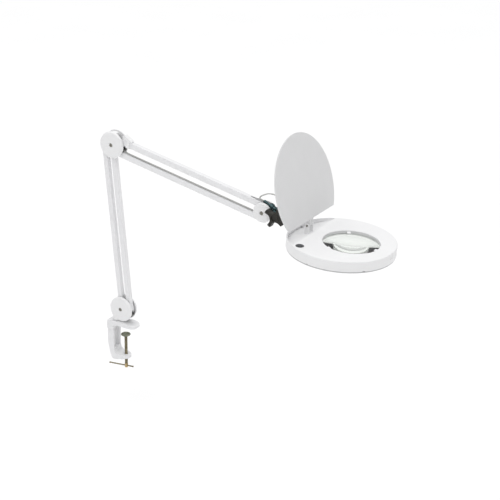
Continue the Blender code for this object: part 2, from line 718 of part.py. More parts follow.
def add_head_bracket(tilt_frame, head_frame):
    """The tongue between the neck fork and the head's rear wall."""
    rear = HEAD_X - HEAD_R
    reach = math.radians(42.0)
    far_end = (46.0 * math.cos(reach), -46.0 * math.sin(reach))
    strip = side_plate(strip_outline(far_end, (0, 0), 7.0, 20), -5.5, 5.5)
    bracket = add_part("head_bracket", strip, "white_paint", tilt_frame)
    trim = tool(box_mesh((rear - 3.0, -40, -60), (rear + 60, 40, 60)), head_frame)
    cut(bracket, trim)
    flange = tool(box_mesh((rear - 3.3, -16.0, -19.5), (rear - GAP, 16.0, -3.5)), head_frame)
    join(bracket, flange)
    cut(bracket, across(3.3, (0, 0, 0), 12, tilt_frame, 24))
    for name, side in (("bracket_screw_near", -1), ("bracket_screw_far", 1)):
        place = Vector((rear - 3.6, side * BRACKET_SCREW_Y, BRACKET_SCREW_Z))
        reach = Vector((8.0, 0, 0))
        cut(bracket, tool(rod_mesh(1.9, place - reach, place + reach, 16), head_frame))
        profile = [(0.0, 2.2), (2.2, 2.2), (3.3, 0.8), (3.3, 0.0), (1.6, 0.0), (1.6, -9.0), (0.0, -9.0)]
        solid_turned(name, profile, "steel", head_frame, (0, -90, 0), 16, place)


def recess_cutter(frame, drop):
    """A wedge behind the chord; its floor falls towards the rear wall."""
    rear = HEAD_X - HEAD_R - 10.0
    slope = (RECESS_REAR - RECESS_STEP) / (CHORD_X - (HEAD_X - HEAD_R))
    start = -RECESS_STEP - drop
    finish = start - slope * (CHORD_X - rear)
    edge = CHORD_X + drop
    outline = [(edge, 30.0), (edge, start), (rear, finish), (rear, 30.0)]
    mesh = outline_mesh(outline, -140, 140)
    return tool(mesh, frame, turn=(90, 0, 0))


def add_housing(frame):
    """The tray of the head, open below, with its recess, hinge ears, button hole and finger scoop."""
    bottom = -HEAD_DEPTH
    outer = [(0.0, 0.0), (HEAD_R - 2.2, 0.0), (HEAD_R - 0.7, -0.7), (HEAD_R, -2.4), (HEAD_R, bottom),
             (0.0, bottom)]
    housing = solid_turned("head_housing", outer, "white_plastic", frame, steps=60, place=(HEAD_X, 0, 0))
    pocket = recess_cutter(frame, 0.0)
    inside = HEAD_R - WALL
    combine(pocket, "INTERSECT", tool(rod_mesh(inside, (HEAD_X, 0, -40), (HEAD_X, 0, 10), 60), frame))
    cut(housing, pocket)
    hollow = tool(rod_mesh(inside, (HEAD_X, 0, -40), (HEAD_X, 0, -WALL), 60), frame)
    cut(hollow, recess_cutter(frame, WALL))
    outside = LENS_R + 2.2
    inner = LENS_R + 0.4
    sleeve = turned_tool([(outside, 10), (outside, -60), (inner, -60), (inner, 10)], frame)
    cut(sleeve, block((-90, -90, -60), (90, 90, bottom + 1.0), frame))
    cut(hollow, sleeve)
    cut(housing, hollow)
    cut(housing, tool(rod_mesh(OPENING_R, (0, 0, -10), (0, 0, 10), 48), frame))
    rise = Vector((0, 0, 9))
    cut(housing, tool(rod_mesh(BUTTON_R + 0.7, BUTTON - rise, BUTTON + rise, 32), frame))
    reach = Vector((8, 0, 0))
    for side in (-1, 1):
        place = Vector((HEAD_X - HEAD_R, side * BRACKET_SCREW_Y, BRACKET_SCREW_Z))
        cut(housing, tool(rod_mesh(1.9, place - reach, place + reach, 16), frame))
    # A shallow scoop at the front lets a finger lift the lens cover.
    front = HEAD_X + HEAD_R
    cut(housing, tool(rod_mesh(11.0, (front + 9.2, 0, -13.0), (front + 9.2, 0, 9.0), 32), frame))
    for side in (-1, 1):
        join(housing, ear_tool(frame, side))
    cut(housing, across(2.3, LID_HINGE, 16.0, frame, 20))
    cut(housing, *snap_notches(frame))
    cut(housing, tool(rod_mesh(2.6, GLAND - reach, GLAND + reach, 20), frame))


def turned_tool(points, frame, steps=48):
    shape = tool(profile_mesh(points), frame)
    return turn_profile(shape, steps)


def ear_tool(frame, side):
    """One of two ears that carry the lens cover's pin, flat-sided down to the recess floor."""
    inner = 7.0
    outer = 10.0
    low, high = (inner, outer) if side > 0 else (-outer, -inner)
    outline = strip_outline((LID_HINGE.x, -8.5), (LID_HINGE.x, LID_HINGE.z), 5.0)
    return tool(side_plate(outline, low, high), frame)


def snap_notches(frame):
    """Six small notches in the rim's lower edge, one every sixty degrees."""
    tools = []
    for step in range(6):
        angle = math.radians(-39.5 + 60 * step)
        centre = Vector((HEAD_X + HEAD_R * math.cos(angle), HEAD_R * math.sin(angle), -HEAD_DEPTH))
        mesh = box_mesh((-1.6, -2.6, -1.4), (1.6, 2.6, 1.4))
        tools.append(tool(mesh, frame, centre, (0, 0, math.degrees(angle))))
    return tools


def add_lower_cover(frame):
    """The plate that closes the head from below, open for the lens and the light ring."""
    top = -HEAD_DEPTH - GAP
    bottom = top - LOWER_COVER
    edge = HEAD_R - 0.8
    outline = [(0.0, top), (edge, top), (edge, bottom + 0.8), (edge - 0.8, bottom), (0.0, bottom)]
    cover = solid_turned("head_lower_cover", outline, "white_plastic", frame, steps=60, place=(HEAD_X, 0, 0))
    cut(cover, tool(rod_mesh(DIFFUSER_R[1] + GAP, (0, 0, -40), (0, 0, 0), 48), frame))


def add_optics(frame):
    """Biconvex lens, its retaining ring, the light board and the diffuser."""
    edge = 1.0
    bulge = 7.5
    count = 4
    top = [(LENS_R * i / count, -8.0 + bulge * (1 - (i / count) ** 2)) for i in range(count + 1)]
    low = [(LENS_R * (count - i) / count, -8.0 - 2 * edge - bulge * (1 - ((count - i) / count) ** 2))
           for i in range(count + 1)]
    solid_turned("lens", top + low, "glass", frame, steps=48)
    ring = [(LENS_R + 0.1, -10.4), (LENS_R + 0.1, -20.0), (60.5, -20.0), (60.5, -12.4), (62.0, -10.4)]
    turned_part("lens_ring", ring, "white_plastic", frame, steps=48)
    board = [(83.5, -2.9), (83.5, -4.5), (67.5, -4.5), (67.5, -2.9)]
    turned_part("light_board", board, "circuit", frame, steps=48)
    inner, outer = DIFFUSER_R
    high = -HEAD_DEPTH - 0.6
    low_face = -HEAD_DEPTH - LOWER_COVER
    plate = [(outer, high), (outer, low_face), (inner, low_face), (inner, high)]
    turned_part("diffuser", plate, "diffuser", frame, steps=48)


def add_electronics(frame):
    driver_mesh = box_mesh((-122.0, -30.0, -21.0), (-93.0, 30.0, -17.5))
    driver = add_part("driver_board", driver_mesh, "circuit", frame)
    round_edges(driver, 0.6)
    body_mesh = rod_mesh(5.4, BUTTON + Vector((0, 0, -14.0)), BUTTON + Vector((0, 0, -5.2)), 24)
    body = add_part("switch_body", body_mesh, "black_plastic", frame)
    cut(body, tool(rod_mesh(2.2, BUTTON + Vector((0, 0, -9.5)), BUTTON, 20), frame))
    bezel = [(8.6, 0.9), (8.8, GAP), (BUTTON_R + 0.3, GAP), (BUTTON_R + 0.3, 0.9)]
    turned_part("switch_bezel", bezel, "grey_button", frame, BUTTON, steps=32)
    button = [(0.0, 1.4), (BUTTON_R - 1.2, 1.3), (BUTTON_R - 0.3, 0.7), (BUTTON_R - 0.3, -2.4), (1.9, -2.4),
              (1.9, -7.0), (0.0, -7.0)]
    solid_turned("switch_button", button, "grey_button", frame, steps=32, place=BUTTON)


def add_lid(head_frame):
    """The round lens cover, cut straight at its hinge edge, with an arm back to the pin."""
    hinge = make_frame("lid_axis", LID_HINGE, -LID_OPEN, head_frame)
    half_edge = math.sqrt(LID_R ** 2 - (LID_CENTRE_X - LID_EDGE_X) ** 2)
    start = math.atan2(half_edge, LID_EDGE_X - LID_CENTRE_X)
    count = 64
    points = []
    for step in range(count + 1):
        angle = -start + 2 * start * step / count
        points.append((LID_CENTRE_X + LID_R * math.cos(angle), LID_R * math.sin(angle)))
    plate = outline_mesh(points, LID_LEVEL, LID_LEVEL + LID_THICK)
    lid = add_part("lens_cover", plate, "white_plastic", hinge)
    strip = strip_outline((26.0, LID_LEVEL + 0.6), (0, 0), 4.6)
    join(lid, tool(side_plate(strip, -6.4, 6.4), hinge))
    cut(lid, block((-30, -20, -40), (60, 20, LID_LEVEL), hinge))
    cut(lid, across(2.3, (0, 0, 0), 12, hinge, 20))
    profile = [(0.0, 12.0), (2.0, 12.0), (2.0, -12.0), (0.0, -12.0)]
    solid_turned("lid_pin", profile, "steel", head_frame, (90, 0, 0), 20, LID_HINGE)


# ---------------------------------------------------------------- cables

def add_cables(upper_bottom, neck, head, length):
    """Dark arm cable on the lower of the two upper tubes, and the light loop to the head."""
    block_mesh = box_mesh((-1.0, -5.5, UPPER_DEPTH / 2 + GAP), (13.5, 5.5, 15.8))
    holder = round_edges(add_part("cable_block", block_mesh, "black_plastic", upper_bottom), 1.0)
    cut(holder, tool(rod_mesh(1.8 + GAP, (8.0, -3.0, 11.4), (40.0, -3.0, 11.4), 16), upper_bottom))
    arm = [(9.0, -3.0, 11.4), (15.0, -3.0, 11.2), (21.0, -3.3, 9.8), (30.0, -3.6, 9.2), (60.0, -3.6, 9.1),
           (120.0, -3.6, 9.2), (200.0, -3.6, 9.3), (280.0, -3.6, 9.2), (length - 14.0, -3.6, 9.1)]
    add_part("arm_cable", tube_path(arm, 1.8), "dark_cable", upper_bottom)
    rear = [(-47.2, 0, 0), (-52.5, 0, -0.8), (-56.6, 0, -1.4), (-58.2, 0, 1.2), (-56.4, 0, 6.5),
            (-52.6, 0, 12.4), (-45.5, 1.0, 20.6), (-35.3, 2.5, 26.0), (-24.0, 4.0, 27.0)]
    add_part("head_cable_rear", tube_path(rear, 1.4), "grey_cable", neck)
    start = head_point((-26.0, 7.5, 27.0))
    front = [start, start + Vector((12.0, 4.0, -3.5)), start + Vector((22.0, 12.0, -16.0)),
             GLAND + Vector((-16.0, -4.0, 14.0)), GLAND + Vector((-14.0, 0, 3.0)),
             GLAND + Vector((-8.2, 0, 0))]
    add_part("head_cable_front", tube_path(front, 1.4), "grey_cable", head)
    place = GLAND - Vector((0.2, 0, 0))
    gland = [(2.4, 7.4), (4.6, 2.6), (4.6, 1.6), (2.35, 1.6), (2.35, -2.6), (1.7, -2.6), (1.7, 7.4)]
    turned_part("cable_gland", gland, "black_plastic", head, place, (0, -90, 0), 20)


def head_point(place):
    """A point of the neck's frame, in the head's frame, both in millimetres."""
    neck_turn = Matrix.Rotation(math.radians(NECK_ANGLE), 4, "Y")
    head_turn = Matrix.Rotation(math.radians(HEAD_ANGLE), 4, "Y")
    world = TILT + neck_turn @ Vector(place)
    return head_turn.inverted() @ (world - HEAD)


def main():
    root = make_frame("lamp", (0, 0, 0))
    add_clamp(root)
    add_clamp_screw(root)
    add_base(make_frame("base_axis", BASE, 0, root))
    add_lower_arm(root)
    add_elbow(make_frame("elbow_axis", ELBOW, 0, root))
    upper_bottom, length = add_upper_arm(root)
    add_end(make_frame("end_axis", END, 0, root))
    neck = make_frame("neck_axis", TILT, NECK_ANGLE, root)
    level = make_frame("tilt_axis", TILT, 0, root)
    head = make_frame("head_axis", HEAD, HEAD_ANGLE, root)
    add_neck(neck)
    add_knob(level)
    add_head_bracket(level, head)
    add_housing(head)
    add_lower_cover(head)
    add_optics(head)
    add_electronics(head)
    add_lid(head)
    add_cables(upper_bottom, neck, head, length)


main()
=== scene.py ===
"""Looks for the clamp-on magnifying lamp: fine meshes, materials, light and camera.

Shapes are worked out in millimetres, in the frame of the joint that they sit on. Noise scales are in
cycles per metre, and bump depths are in metres.
"""
import json
import math

import bmesh
import bpy
from mathutils import Matrix, Vector


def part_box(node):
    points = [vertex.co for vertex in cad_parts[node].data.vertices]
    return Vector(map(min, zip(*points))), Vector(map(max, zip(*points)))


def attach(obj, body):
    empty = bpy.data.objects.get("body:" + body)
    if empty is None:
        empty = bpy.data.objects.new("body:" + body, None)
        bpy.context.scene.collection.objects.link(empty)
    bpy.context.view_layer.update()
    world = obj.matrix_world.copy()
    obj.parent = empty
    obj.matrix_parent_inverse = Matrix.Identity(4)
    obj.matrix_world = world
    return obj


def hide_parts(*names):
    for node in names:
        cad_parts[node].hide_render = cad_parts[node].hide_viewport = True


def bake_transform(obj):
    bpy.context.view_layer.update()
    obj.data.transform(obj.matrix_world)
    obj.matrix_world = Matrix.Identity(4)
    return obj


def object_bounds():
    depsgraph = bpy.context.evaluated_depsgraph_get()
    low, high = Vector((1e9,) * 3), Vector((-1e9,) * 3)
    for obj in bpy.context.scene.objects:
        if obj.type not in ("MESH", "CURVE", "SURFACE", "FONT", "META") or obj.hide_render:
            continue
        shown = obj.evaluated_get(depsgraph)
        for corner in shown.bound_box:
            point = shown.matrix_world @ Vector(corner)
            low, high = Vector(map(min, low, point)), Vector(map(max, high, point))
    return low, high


MM = 0.001
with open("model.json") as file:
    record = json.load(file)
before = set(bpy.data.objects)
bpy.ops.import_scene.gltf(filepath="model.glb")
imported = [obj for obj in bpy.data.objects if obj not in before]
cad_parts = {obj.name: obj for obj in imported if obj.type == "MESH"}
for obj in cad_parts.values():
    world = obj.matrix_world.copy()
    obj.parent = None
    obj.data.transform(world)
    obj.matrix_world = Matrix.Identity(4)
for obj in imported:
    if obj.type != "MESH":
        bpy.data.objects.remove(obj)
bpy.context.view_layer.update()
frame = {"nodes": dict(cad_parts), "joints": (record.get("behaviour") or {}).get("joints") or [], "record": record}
JOINTS = {joint["name"]: joint for joint in frame["joints"]}


# ---------------------------------------------------------------- places, read from the frame

def middle(node):
    """The middle of a CAD node's box, in metres."""
    low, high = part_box(node)
    return (Vector(low) + Vector(high)) / 2


def size(node):
    """The size of a CAD node's box, in millimetres."""
    low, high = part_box(node)
    return (Vector(high) - Vector(low)) / MM


def place_of(point, angle=0.0):
    """A frame at a point in metres, turned about Y in degrees; its unit is the millimetre."""
    turn = Matrix.Rotation(math.radians(angle), 4, "Y")
    return Matrix.Translation(Vector(point)) @ turn @ Matrix.Scale(MM, 4)


def in_plane(point):
    """A point moved on to the lamp's middle plane."""
    return Vector((point[0], 0.0, point[2]))


HEAD_AXIS = Vector(JOINTS["button_press"]["axis"])
HEAD_ANGLE = math.degrees(math.atan2(HEAD_AXIS.x, HEAD_AXIS.z))
NECK_AXIS = Vector(JOINTS["neck_swivel"]["axis"])
NECK_ANGLE = math.degrees(math.atan2(-NECK_AXIS.z, NECK_AXIS.x))
BASE = place_of(in_plane(middle("base_screw_near")))
ELBOW = place_of(in_plane(middle("elbow_screw_near")))
END = place_of(in_plane(middle("end_screw_near")))
NECK = place_of(JOINTS["neck_swivel"]["pos_m"], NECK_ANGLE)
TILT = place_of(JOINTS["neck_swivel"]["pos_m"])
LENS_DEPTH = 9.0
HEAD = place_of(middle("lens") + HEAD_AXIS * LENS_DEPTH * MM, HEAD_ANGLE)
ORIGIN = place_of((0, 0, 0))

JOINT_PLACE = {"base": BASE, "elbow": ELBOW, "end": END}


# ---------------------------------------------------------------- materials

def new_material(name, colour, roughness, metallic=0.0):
    """A plain material, with its node tree and its shader for what is added to it."""
    material = bpy.data.materials.new(name)
    material.use_nodes = True
    shader = material.node_tree.nodes["Principled BSDF"]
    shader.inputs["Base Color"].default_value = (*colour, 1.0)
    shader.inputs["Roughness"].default_value = roughness
    shader.inputs["Metallic"].default_value = metallic
    return material, material.node_tree, shader


def noise(tree, scale, detail=3.0, roughness=0.5):
    """Noise that stays on the piece when the piece moves."""
    node = tree.nodes.new("ShaderNodeTexNoise")
    node.inputs["Scale"].default_value = scale
    node.inputs["Detail"].default_value = detail
    node.inputs["Roughness"].default_value = roughness
    where = tree.nodes.new("ShaderNodeTexCoord")
    tree.links.new(where.outputs["Object"], node.inputs["Vector"])
    return node.outputs["Fac"]


def spread(tree, value, low, high):
    """Maps the middle part of a noise on to a range."""
    node = tree.nodes.new("ShaderNodeMapRange")
    node.inputs["From Min"].default_value = 0.3
    node.inputs["From Max"].default_value = 0.7
    node.inputs["To Min"].default_value = low
    node.inputs["To Max"].default_value = high
    tree.links.new(value, node.inputs["Value"])
    return node.outputs["Result"]


def blend_colours(tree, value, first, second, start=0.35, finish=0.65):
    """A colour between two, that follows a 0 to 1 value."""
    ramp = tree.nodes.new("ShaderNodeValToRGB")
    ends = ramp.color_ramp.elements
    ends[0].position = start
    ends[0].color = (*first, 1.0)
    ends[1].position = finish
    ends[1].color = (*second, 1.0)
    tree.links.new(value, ramp.inputs["Fac"])
    return ramp.outputs["Color"]


def bump(tree, shader, height, strength, depth, below=None):
    """Bumps on a shader, on top of other bumps where there are any."""
    node = tree.nodes.new("ShaderNodeBump")
    node.inputs["Strength"].default_value = strength
    node.inputs["Distance"].default_value = depth
    tree.links.new(height, node.inputs["Height"])
    if below:
        tree.links.new(below, node.inputs["Normal"])
    tree.links.new(node.outputs["Normal"], shader.inputs["Normal"])
    return node.outputs["Normal"]


def moulded(name, colour, roughness, grain=2200.0, depth=0.00004, tint=0.03, shine=0.5):
    """Moulded plastic: fine spark-eroded grain, faint flow marks in tone and in gloss."""
    material, tree, shader = new_material(name, colour, roughness)
    shader.inputs["Specular IOR Level"].default_value = shine
    shade = tuple(channel * (1.0 - tint) for channel in colour)
    flow = noise(tree, 18.0, 4.0, 0.6)
    tree.links.new(blend_colours(tree, flow, shade, colour), shader.inputs["Base Color"])
    tree.links.new(spread(tree, noise(tree, 60.0), roughness - 0.06, roughness + 0.08),
                   shader.inputs["Roughness"])
    bump(tree, shader, noise(tree, grain, 2.0, 0.6), 0.35, depth)
    return material


def powder_coat(name, colour, roughness):
    """Powder-coated metal: soft orange peel over fine specks."""
    material, tree, shader = new_material(name, colour, roughness)
    shade = tuple(channel * 0.965 for channel in colour)
    tree.links.new(blend_colours(tree, noise(tree, 26.0, 5.0, 0.6), shade, colour),
                   shader.inputs["Base Color"])
    tree.links.new(spread(tree, noise(tree, 90.0), roughness - 0.07, roughness + 0.07),
                   shader.inputs["Roughness"])
    peel = bump(tree, shader, noise(tree, 520.0, 1.0), 0.3, 0.00012)
    bump(tree, shader, noise(tree, 2600.0, 2.0), 0.2, 0.00003, peel)
    shader.inputs["Coat Weight"].default_value = 0.15
    shader.inputs["Coat Roughness"].default_value = 0.25
    return material


def plated(name, colour, worn, roughness, scale=140.0):
    """Plated or bare metal: cloudy tone, fine scratches and uneven gloss."""
    material, tree, shader = new_material(name, colour, roughness, metallic=1.0)
    tree.links.new(blend_colours(tree, noise(tree, scale, 6.0, 0.65), worn, colour, 0.4, 0.6),
                   shader.inputs["Base Color"])
    tree.links.new(spread(tree, noise(tree, scale * 3.0, 4.0, 0.7), roughness - 0.08, roughness + 0.15),
                   shader.inputs["Roughness"])
    bump(tree, shader, noise(tree, scale * 14.0, 3.0, 0.7), 0.25, 0.00003)
    return material


def lens_glass():
    """Clear glass with the faintest uneven polish."""
    material, tree, shader = new_material("lens_glass", (0.90, 0.93, 0.895), 0.012)
    shader.inputs["Transmission Weight"].default_value = 1.0
    shader.inputs["IOR"].default_value = 1.5
    tree.links.new(spread(tree, noise(tree, 35.0), 0.004, 0.03), shader.inputs["Roughness"])
    return material


def opal():
    """Opal acrylic over the light ring, unevenly warm."""
    material, tree, shader = new_material("opal", (0.9, 0.9, 0.87), 0.4)
    shader.inputs["Subsurface Weight"].default_value = 0.3
    shader.inputs["Subsurface Radius"].default_value = (0.004, 0.004, 0.004)
    tree.links.new(blend_colours(tree, noise(tree, 40.0, 4.0), (0.87, 0.87, 0.83), (0.93, 0.93, 0.91)),
                   shader.inputs["Base Color"])
    tree.links.new(spread(tree, noise(tree, 220.0), 0.3, 0.5), shader.inputs["Roughness"])
    bump(tree, shader, noise(tree, 1500.0, 2.0), 0.25, 0.00004)
    return material


def make_materials():
    """Every finish by its name: colour, second colour or roughness, and how coarse or deep its grain is."""
    return {
        "white_paint": powder_coat("powder_coat_white", (0.84, 0.84, 0.85), 0.36),
        "white_plastic": moulded("moulded_white", (0.86, 0.86, 0.865), 0.42, depth=0.00003, tint=0.02),
        "lid_white": moulded("moulded_lid", (0.74, 0.74, 0.745), 0.46, depth=0.00003, tint=0.02),
        # The lower cover's grey is painted shade: it stands for the dark line along the bottom edge of the head.
        "painted_shade_grey": moulded("moulded_grey_painted_shade", (0.5, 0.5, 0.505), 0.45, 1800.0, tint=0.05),
        "black_plastic": moulded("moulded_black", (0.027, 0.025, 0.02), 0.42, depth=0.00008, tint=0.3,
                                 shine=0.3),
        "grey_button": moulded("moulded_grey", (0.06, 0.062, 0.068), 0.38, depth=0.00005, tint=0.2),
        "steel": plated("turned_steel", (0.36, 0.35, 0.31), (0.22, 0.21, 0.18), 0.3),
        "chrome": plated("dark_chrome_plate", (0.062, 0.1, 0.106), (0.04, 0.066, 0.07), 0.12, 60.0),
        "brass": plated("yellow_plate", (0.62, 0.47, 0.24), (0.36, 0.27, 0.15), 0.36),
        "bar_plate": plated("dull_yellow_plate", (0.34, 0.30, 0.21), (0.19, 0.165, 0.115), 0.4),
        "screw_plate": plated("dull_thread", (0.34, 0.3, 0.2), (0.2, 0.17, 0.11), 0.42),
        "zinc": plated("dull_zinc", (0.33, 0.34, 0.27), (0.19, 0.2, 0.14), 0.42),
        "spring": plated("spring_steel", (0.38, 0.38, 0.38), (0.25, 0.25, 0.25), 0.35),
        "glass": lens_glass(),
        "diffuser": opal(),
        "circuit": moulded("solder_mask_white", (0.78, 0.8, 0.78), 0.3, 900.0),
        "light_chip": moulded("light_chip", (0.82, 0.72, 0.3), 0.3, 1500.0),
        "dark_cable": moulded("sheath_dark", (0.03, 0.03, 0.033), 0.5, 1200.0, 0.00006, 0.2),
        "arm_sheath": moulded("sheath_mid_grey", (0.44, 0.44, 0.43), 0.5, 1200.0, 0.00006, 0.15),
        "grey_cable": moulded("sheath_grey", (0.52, 0.52, 0.5), 0.5, 1200.0, 0.00006, 0.1),
    }


MATERIALS = make_materials()


# ---------------------------------------------------------------- mesh helpers

# A face above this area, in square metres, is broad. Edges below the flat angle stay smooth. Points of a
# recipe closer than the weld distance, in millimetres, become one.
BROAD_FACE = 60.0 * MM * MM
FLAT_ANGLE = math.radians(3.0)
WELD = 0.0005


def bake(bm, place, name):
    """Turns a recipe in millimetres into a mesh in metres, in the shared frame."""
    bmesh.ops.transform(bm, matrix=place, verts=bm.verts)
    mesh = bpy.data.meshes.new(name)
    bm.to_mesh(mesh)
    bm.free()
    return mesh


def crisp(mesh, angle):
    """Smooth shading with sharp edges, where broad flat faces keep all of their edges sharp."""
    mesh.shade_smooth()
    mesh.set_sharp_from_angle(angle=math.radians(angle))
    bm = bmesh.new()
    bm.from_mesh(mesh)
    for edge in bm.edges:
        if len(edge.link_faces) == 2 and edge.calc_face_angle() > FLAT_ANGLE:
            if max(face.calc_area() for face in edge.link_faces) > BROAD_FACE:
                edge.smooth = False
    bm.to_mesh(mesh)
    bm.free()


def show(name, mesh, material, body, replaced=(), smooth=35):
    """Puts a mesh in the scene as a piece that rides on a body, or on none."""
    piece = bpy.data.objects.new(name, mesh)
    bpy.context.scene.collection.objects.link(piece)
    mesh.materials.clear()
    mesh.materials.append(MATERIALS[material])
    crisp(mesh, smooth)
    bpy.context.view_layer.update()
    if body:
        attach(piece, body)
    if replaced:
        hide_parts(*replaced)
    return piece


def solid(mesh):
    """A loose helper object that a modifier can read."""
    thing = bpy.data.objects.new("helper", mesh)
    bpy.context.scene.collection.objects.link(thing)
    return thing


def settle(thing):
    """Applies an object's modifiers, removes it and returns the finished mesh."""
    bpy.context.view_layer.update()
    result = bpy.data.meshes.new_from_object(thing.evaluated_get(bpy.context.evaluated_depsgraph_get()))
    bpy.data.objects.remove(thing, do_unlink=True)
    return result


def shaped(mesh, operation, *others):
    """The Boolean of a mesh with others."""
    thing = solid(mesh)
    helpers = [solid(other) for other in others]
    for helper in helpers:
        step = thing.modifiers.new("step", "BOOLEAN")
        step.operation = operation
        step.solver = "EXACT"
        step.object = helper
    result = settle(thing)
    for helper in helpers:
        bpy.data.objects.remove(helper, do_unlink=True)
    return result


def bevelled(mesh, width, segments=3, angle=40):
    """A mesh with its sharp edges rounded."""
    thing = solid(mesh)
    step = thing.modifiers.new("edges", "BEVEL")
    step.width = width * MM
    step.segments = segments
    step.limit_method = "ANGLE"
    step.angle_limit = math.radians(angle)
    return settle(thing)


def lathe(profile, place, steps=96, closed=False):
    """A turned shape about the local Z axis from (radius, height) points."""
    bm = bmesh.new()
    verts = [bm.verts.new((radius, 0.0, height)) for radius, height in profile]
    edges = [bm.edges.new(pair) for pair in zip(verts, verts[1:])]
    if closed:
        edges.append(bm.edges.new((verts[-1], verts[0])))
    bmesh.ops.spin(bm, geom=verts + edges, cent=(0, 0, 0), axis=(0, 0, 1), angle=2 * math.pi,
                   steps=steps, use_merge=True)
    bmesh.ops.remove_doubles(bm, verts=bm.verts, dist=WELD)
    bmesh.ops.recalc_face_normals(bm, faces=bm.faces)
    return bake(bm, place, "turned")


def arc(centre, radius, start, finish, steps):
    """Points on an arc between two angles in degrees, either way round."""
    points = []
    for step in range(steps + 1):
        angle = math.radians(start + (finish - start) * step / steps)
        points.append((centre[0] + radius * math.cos(angle), centre[1] + radius * math.sin(angle)))
    return points


def slab(outline, low, high, place):
    """An outline of (x, y) points extruded between two local heights."""
    bm = bmesh.new()
    face = bm.faces.new([bm.verts.new((x, y, low)) for x, y in outline])
    lifted = bmesh.ops.extrude_face_region(bm, geom=[face])
    top = [item for item in lifted["geom"] if isinstance(item, bmesh.types.BMVert)]
    bmesh.ops.translate(bm, vec=(0, 0, high - low), verts=top)
    bmesh.ops.recalc_face_normals(bm, faces=bm.faces)
    return bake(bm, place, "slab")


def box(low, high, place):
    """A box between two local corners."""
    outline = [(low[0], low[1]), (high[0], low[1]), (high[0], high[1]), (low[0], high[1])]
    return slab(outline, low[2], high[2], place)


def sideways(place):
    """The same frame with its Z along the hinge axis, so that outlines lie in its XZ plane."""
    return place @ Matrix.Rotation(math.radians(90), 4, "X")


def lengthways(place):
    """The same frame with its Z along its own X axis, for turned shapes that lie along X."""
    return place @ Matrix.Rotation(math.radians(90), 4, "Y")


def strip(start, finish, radius, steps=20):
    """An outline that is square at its start and round about its finish."""
    start = Vector(start)
    finish = Vector(finish)
    along = (finish - start).normalized()
    aside = Vector((-along.y, along.x))
    points = [start + aside * radius, start - aside * radius]
    for step in range(steps + 1):
        angle = math.pi * (step / steps - 0.5)
        points.append(finish + (along * math.cos(angle) + aside * math.sin(angle)) * radius)
    return [tuple(point) for point in points]


def rod(radius, start, finish, place, steps=48):
    """A plain cylinder between two local points, used for cutting."""
    start = Vector(start)
    finish = Vector(finish)
    run = finish - start
    lean = Vector((0, 0, 1)).rotation_difference(run).to_matrix().to_4x4()
    bm = bmesh.new()
    bmesh.ops.create_cone(bm, cap_ends=True, segments=steps, radius1=radius, radius2=radius,
                          depth=run.length)
    bmesh.ops.transform(bm, matrix=Matrix.Translation((start + finish) / 2) @ lean, verts=bm.verts)
    return bake(bm, place, "rod")


def smooth_path(points, gap):
    """Evenly dense points on a smooth curve through a few chosen ones."""
    dense = []
    last = len(points) - 1
    for index in range(last):
        before = Vector(points[max(index - 1, 0)])
        start = Vector(points[index])
        finish = Vector(points[index + 1])
        after = Vector(points[min(index + 2, last)])
        steps = max(2, round((finish - start).length / gap))
        for step in range(steps):
            t = step / steps
            dense.append(0.5 * (2 * start + (finish - before) * t
                                + (2 * before - 5 * start + 4 * finish - after) * t * t
                                + (3 * start - before - 3 * finish + after) * t ** 3))
    dense.append(Vector(points[-1]))
    return dense


def wire(points, radius, place, roundness=4):
    """A round wire or cable along points, with filled ends."""
    curve = bpy.data.curves.new("wire", "CURVE")
    curve.dimensions = "3D"
    curve.bevel_depth = radius
    curve.bevel_resolution = roundness
    curve.use_fill_caps = True
    spline = curve.splines.new("POLY")
    spline.points.add(len(points) - 1)
    for spot, point in zip(spline.points, points):
        spot.co = (*point, 1.0)
    holder = bpy.data.objects.new("wire", curve)
    bpy.context.scene.collection.objects.link(holder)
    mesh = settle(holder)
    bm = bmesh.new()
    bm.from_mesh(mesh)
    bmesh.ops.remove_doubles(bm, verts=bm.verts, dist=WELD)
    return bake(bm, place, "wire")


def cast(node, voxel, rounds):
    """A CAD node's shape with the soft edges of a casting or a moulding."""
    thing = solid(frame["nodes"][node].data.copy())
    step = thing.modifiers.new("grid", "REMESH")
    step.mode = "VOXEL"
    step.voxel_size = voxel * MM
    relax = thing.modifiers.new("relax", "SMOOTH")
    relax.factor = 0.5
    relax.iterations = rounds
    return settle(thing)


# ---------------------------------------------------------------- clamp

def thread(radius, depth, pitch, low, high, place):
    """A screw thread as one closed skin whose radius follows a helix."""
    around = 40
    per_pitch = 8
    rings = round((high - low) / pitch * per_pitch)
    bm = bmesh.new()
    grid = []
    for ring in range(rings + 1):
        height = low + (high - low) * ring / rings
        row = []
        for side in range(around):
            share = side / around
            phase = (height / pitch - share) % 1.0
            crest = radius - depth * abs(2.0 * phase - 1.0)
            angle = 2 * math.pi * share
            row.append(bm.verts.new((crest * math.cos(angle), crest * math.sin(angle), height)))
        grid.append(row)
    for lower, upper in zip(grid, grid[1:]):
        for side in range(around):
            after = (side + 1) % around
            bm.faces.new((lower[side], lower[after], upper[after], upper[side]))
    bm.faces.new(list(reversed(grid[0])))
    bm.faces.new(grid[-1])
    return bake(bm, place, "thread")


def make_clamp():
    """The casting, the clamp screw, the tommy bar and the swivel pad."""
    show("clamp_casting", cast("clamp_frame", 0.65, 14), "white_paint", "clamp",
         ["clamp_frame"], 60)
    slide = JOINTS["handle_slide"]["axis"]
    heading = math.atan2(slide[1], slide[0])
    make_clamp_screw(heading)
    make_tommy_bar(heading)
    make_swivel_pad()


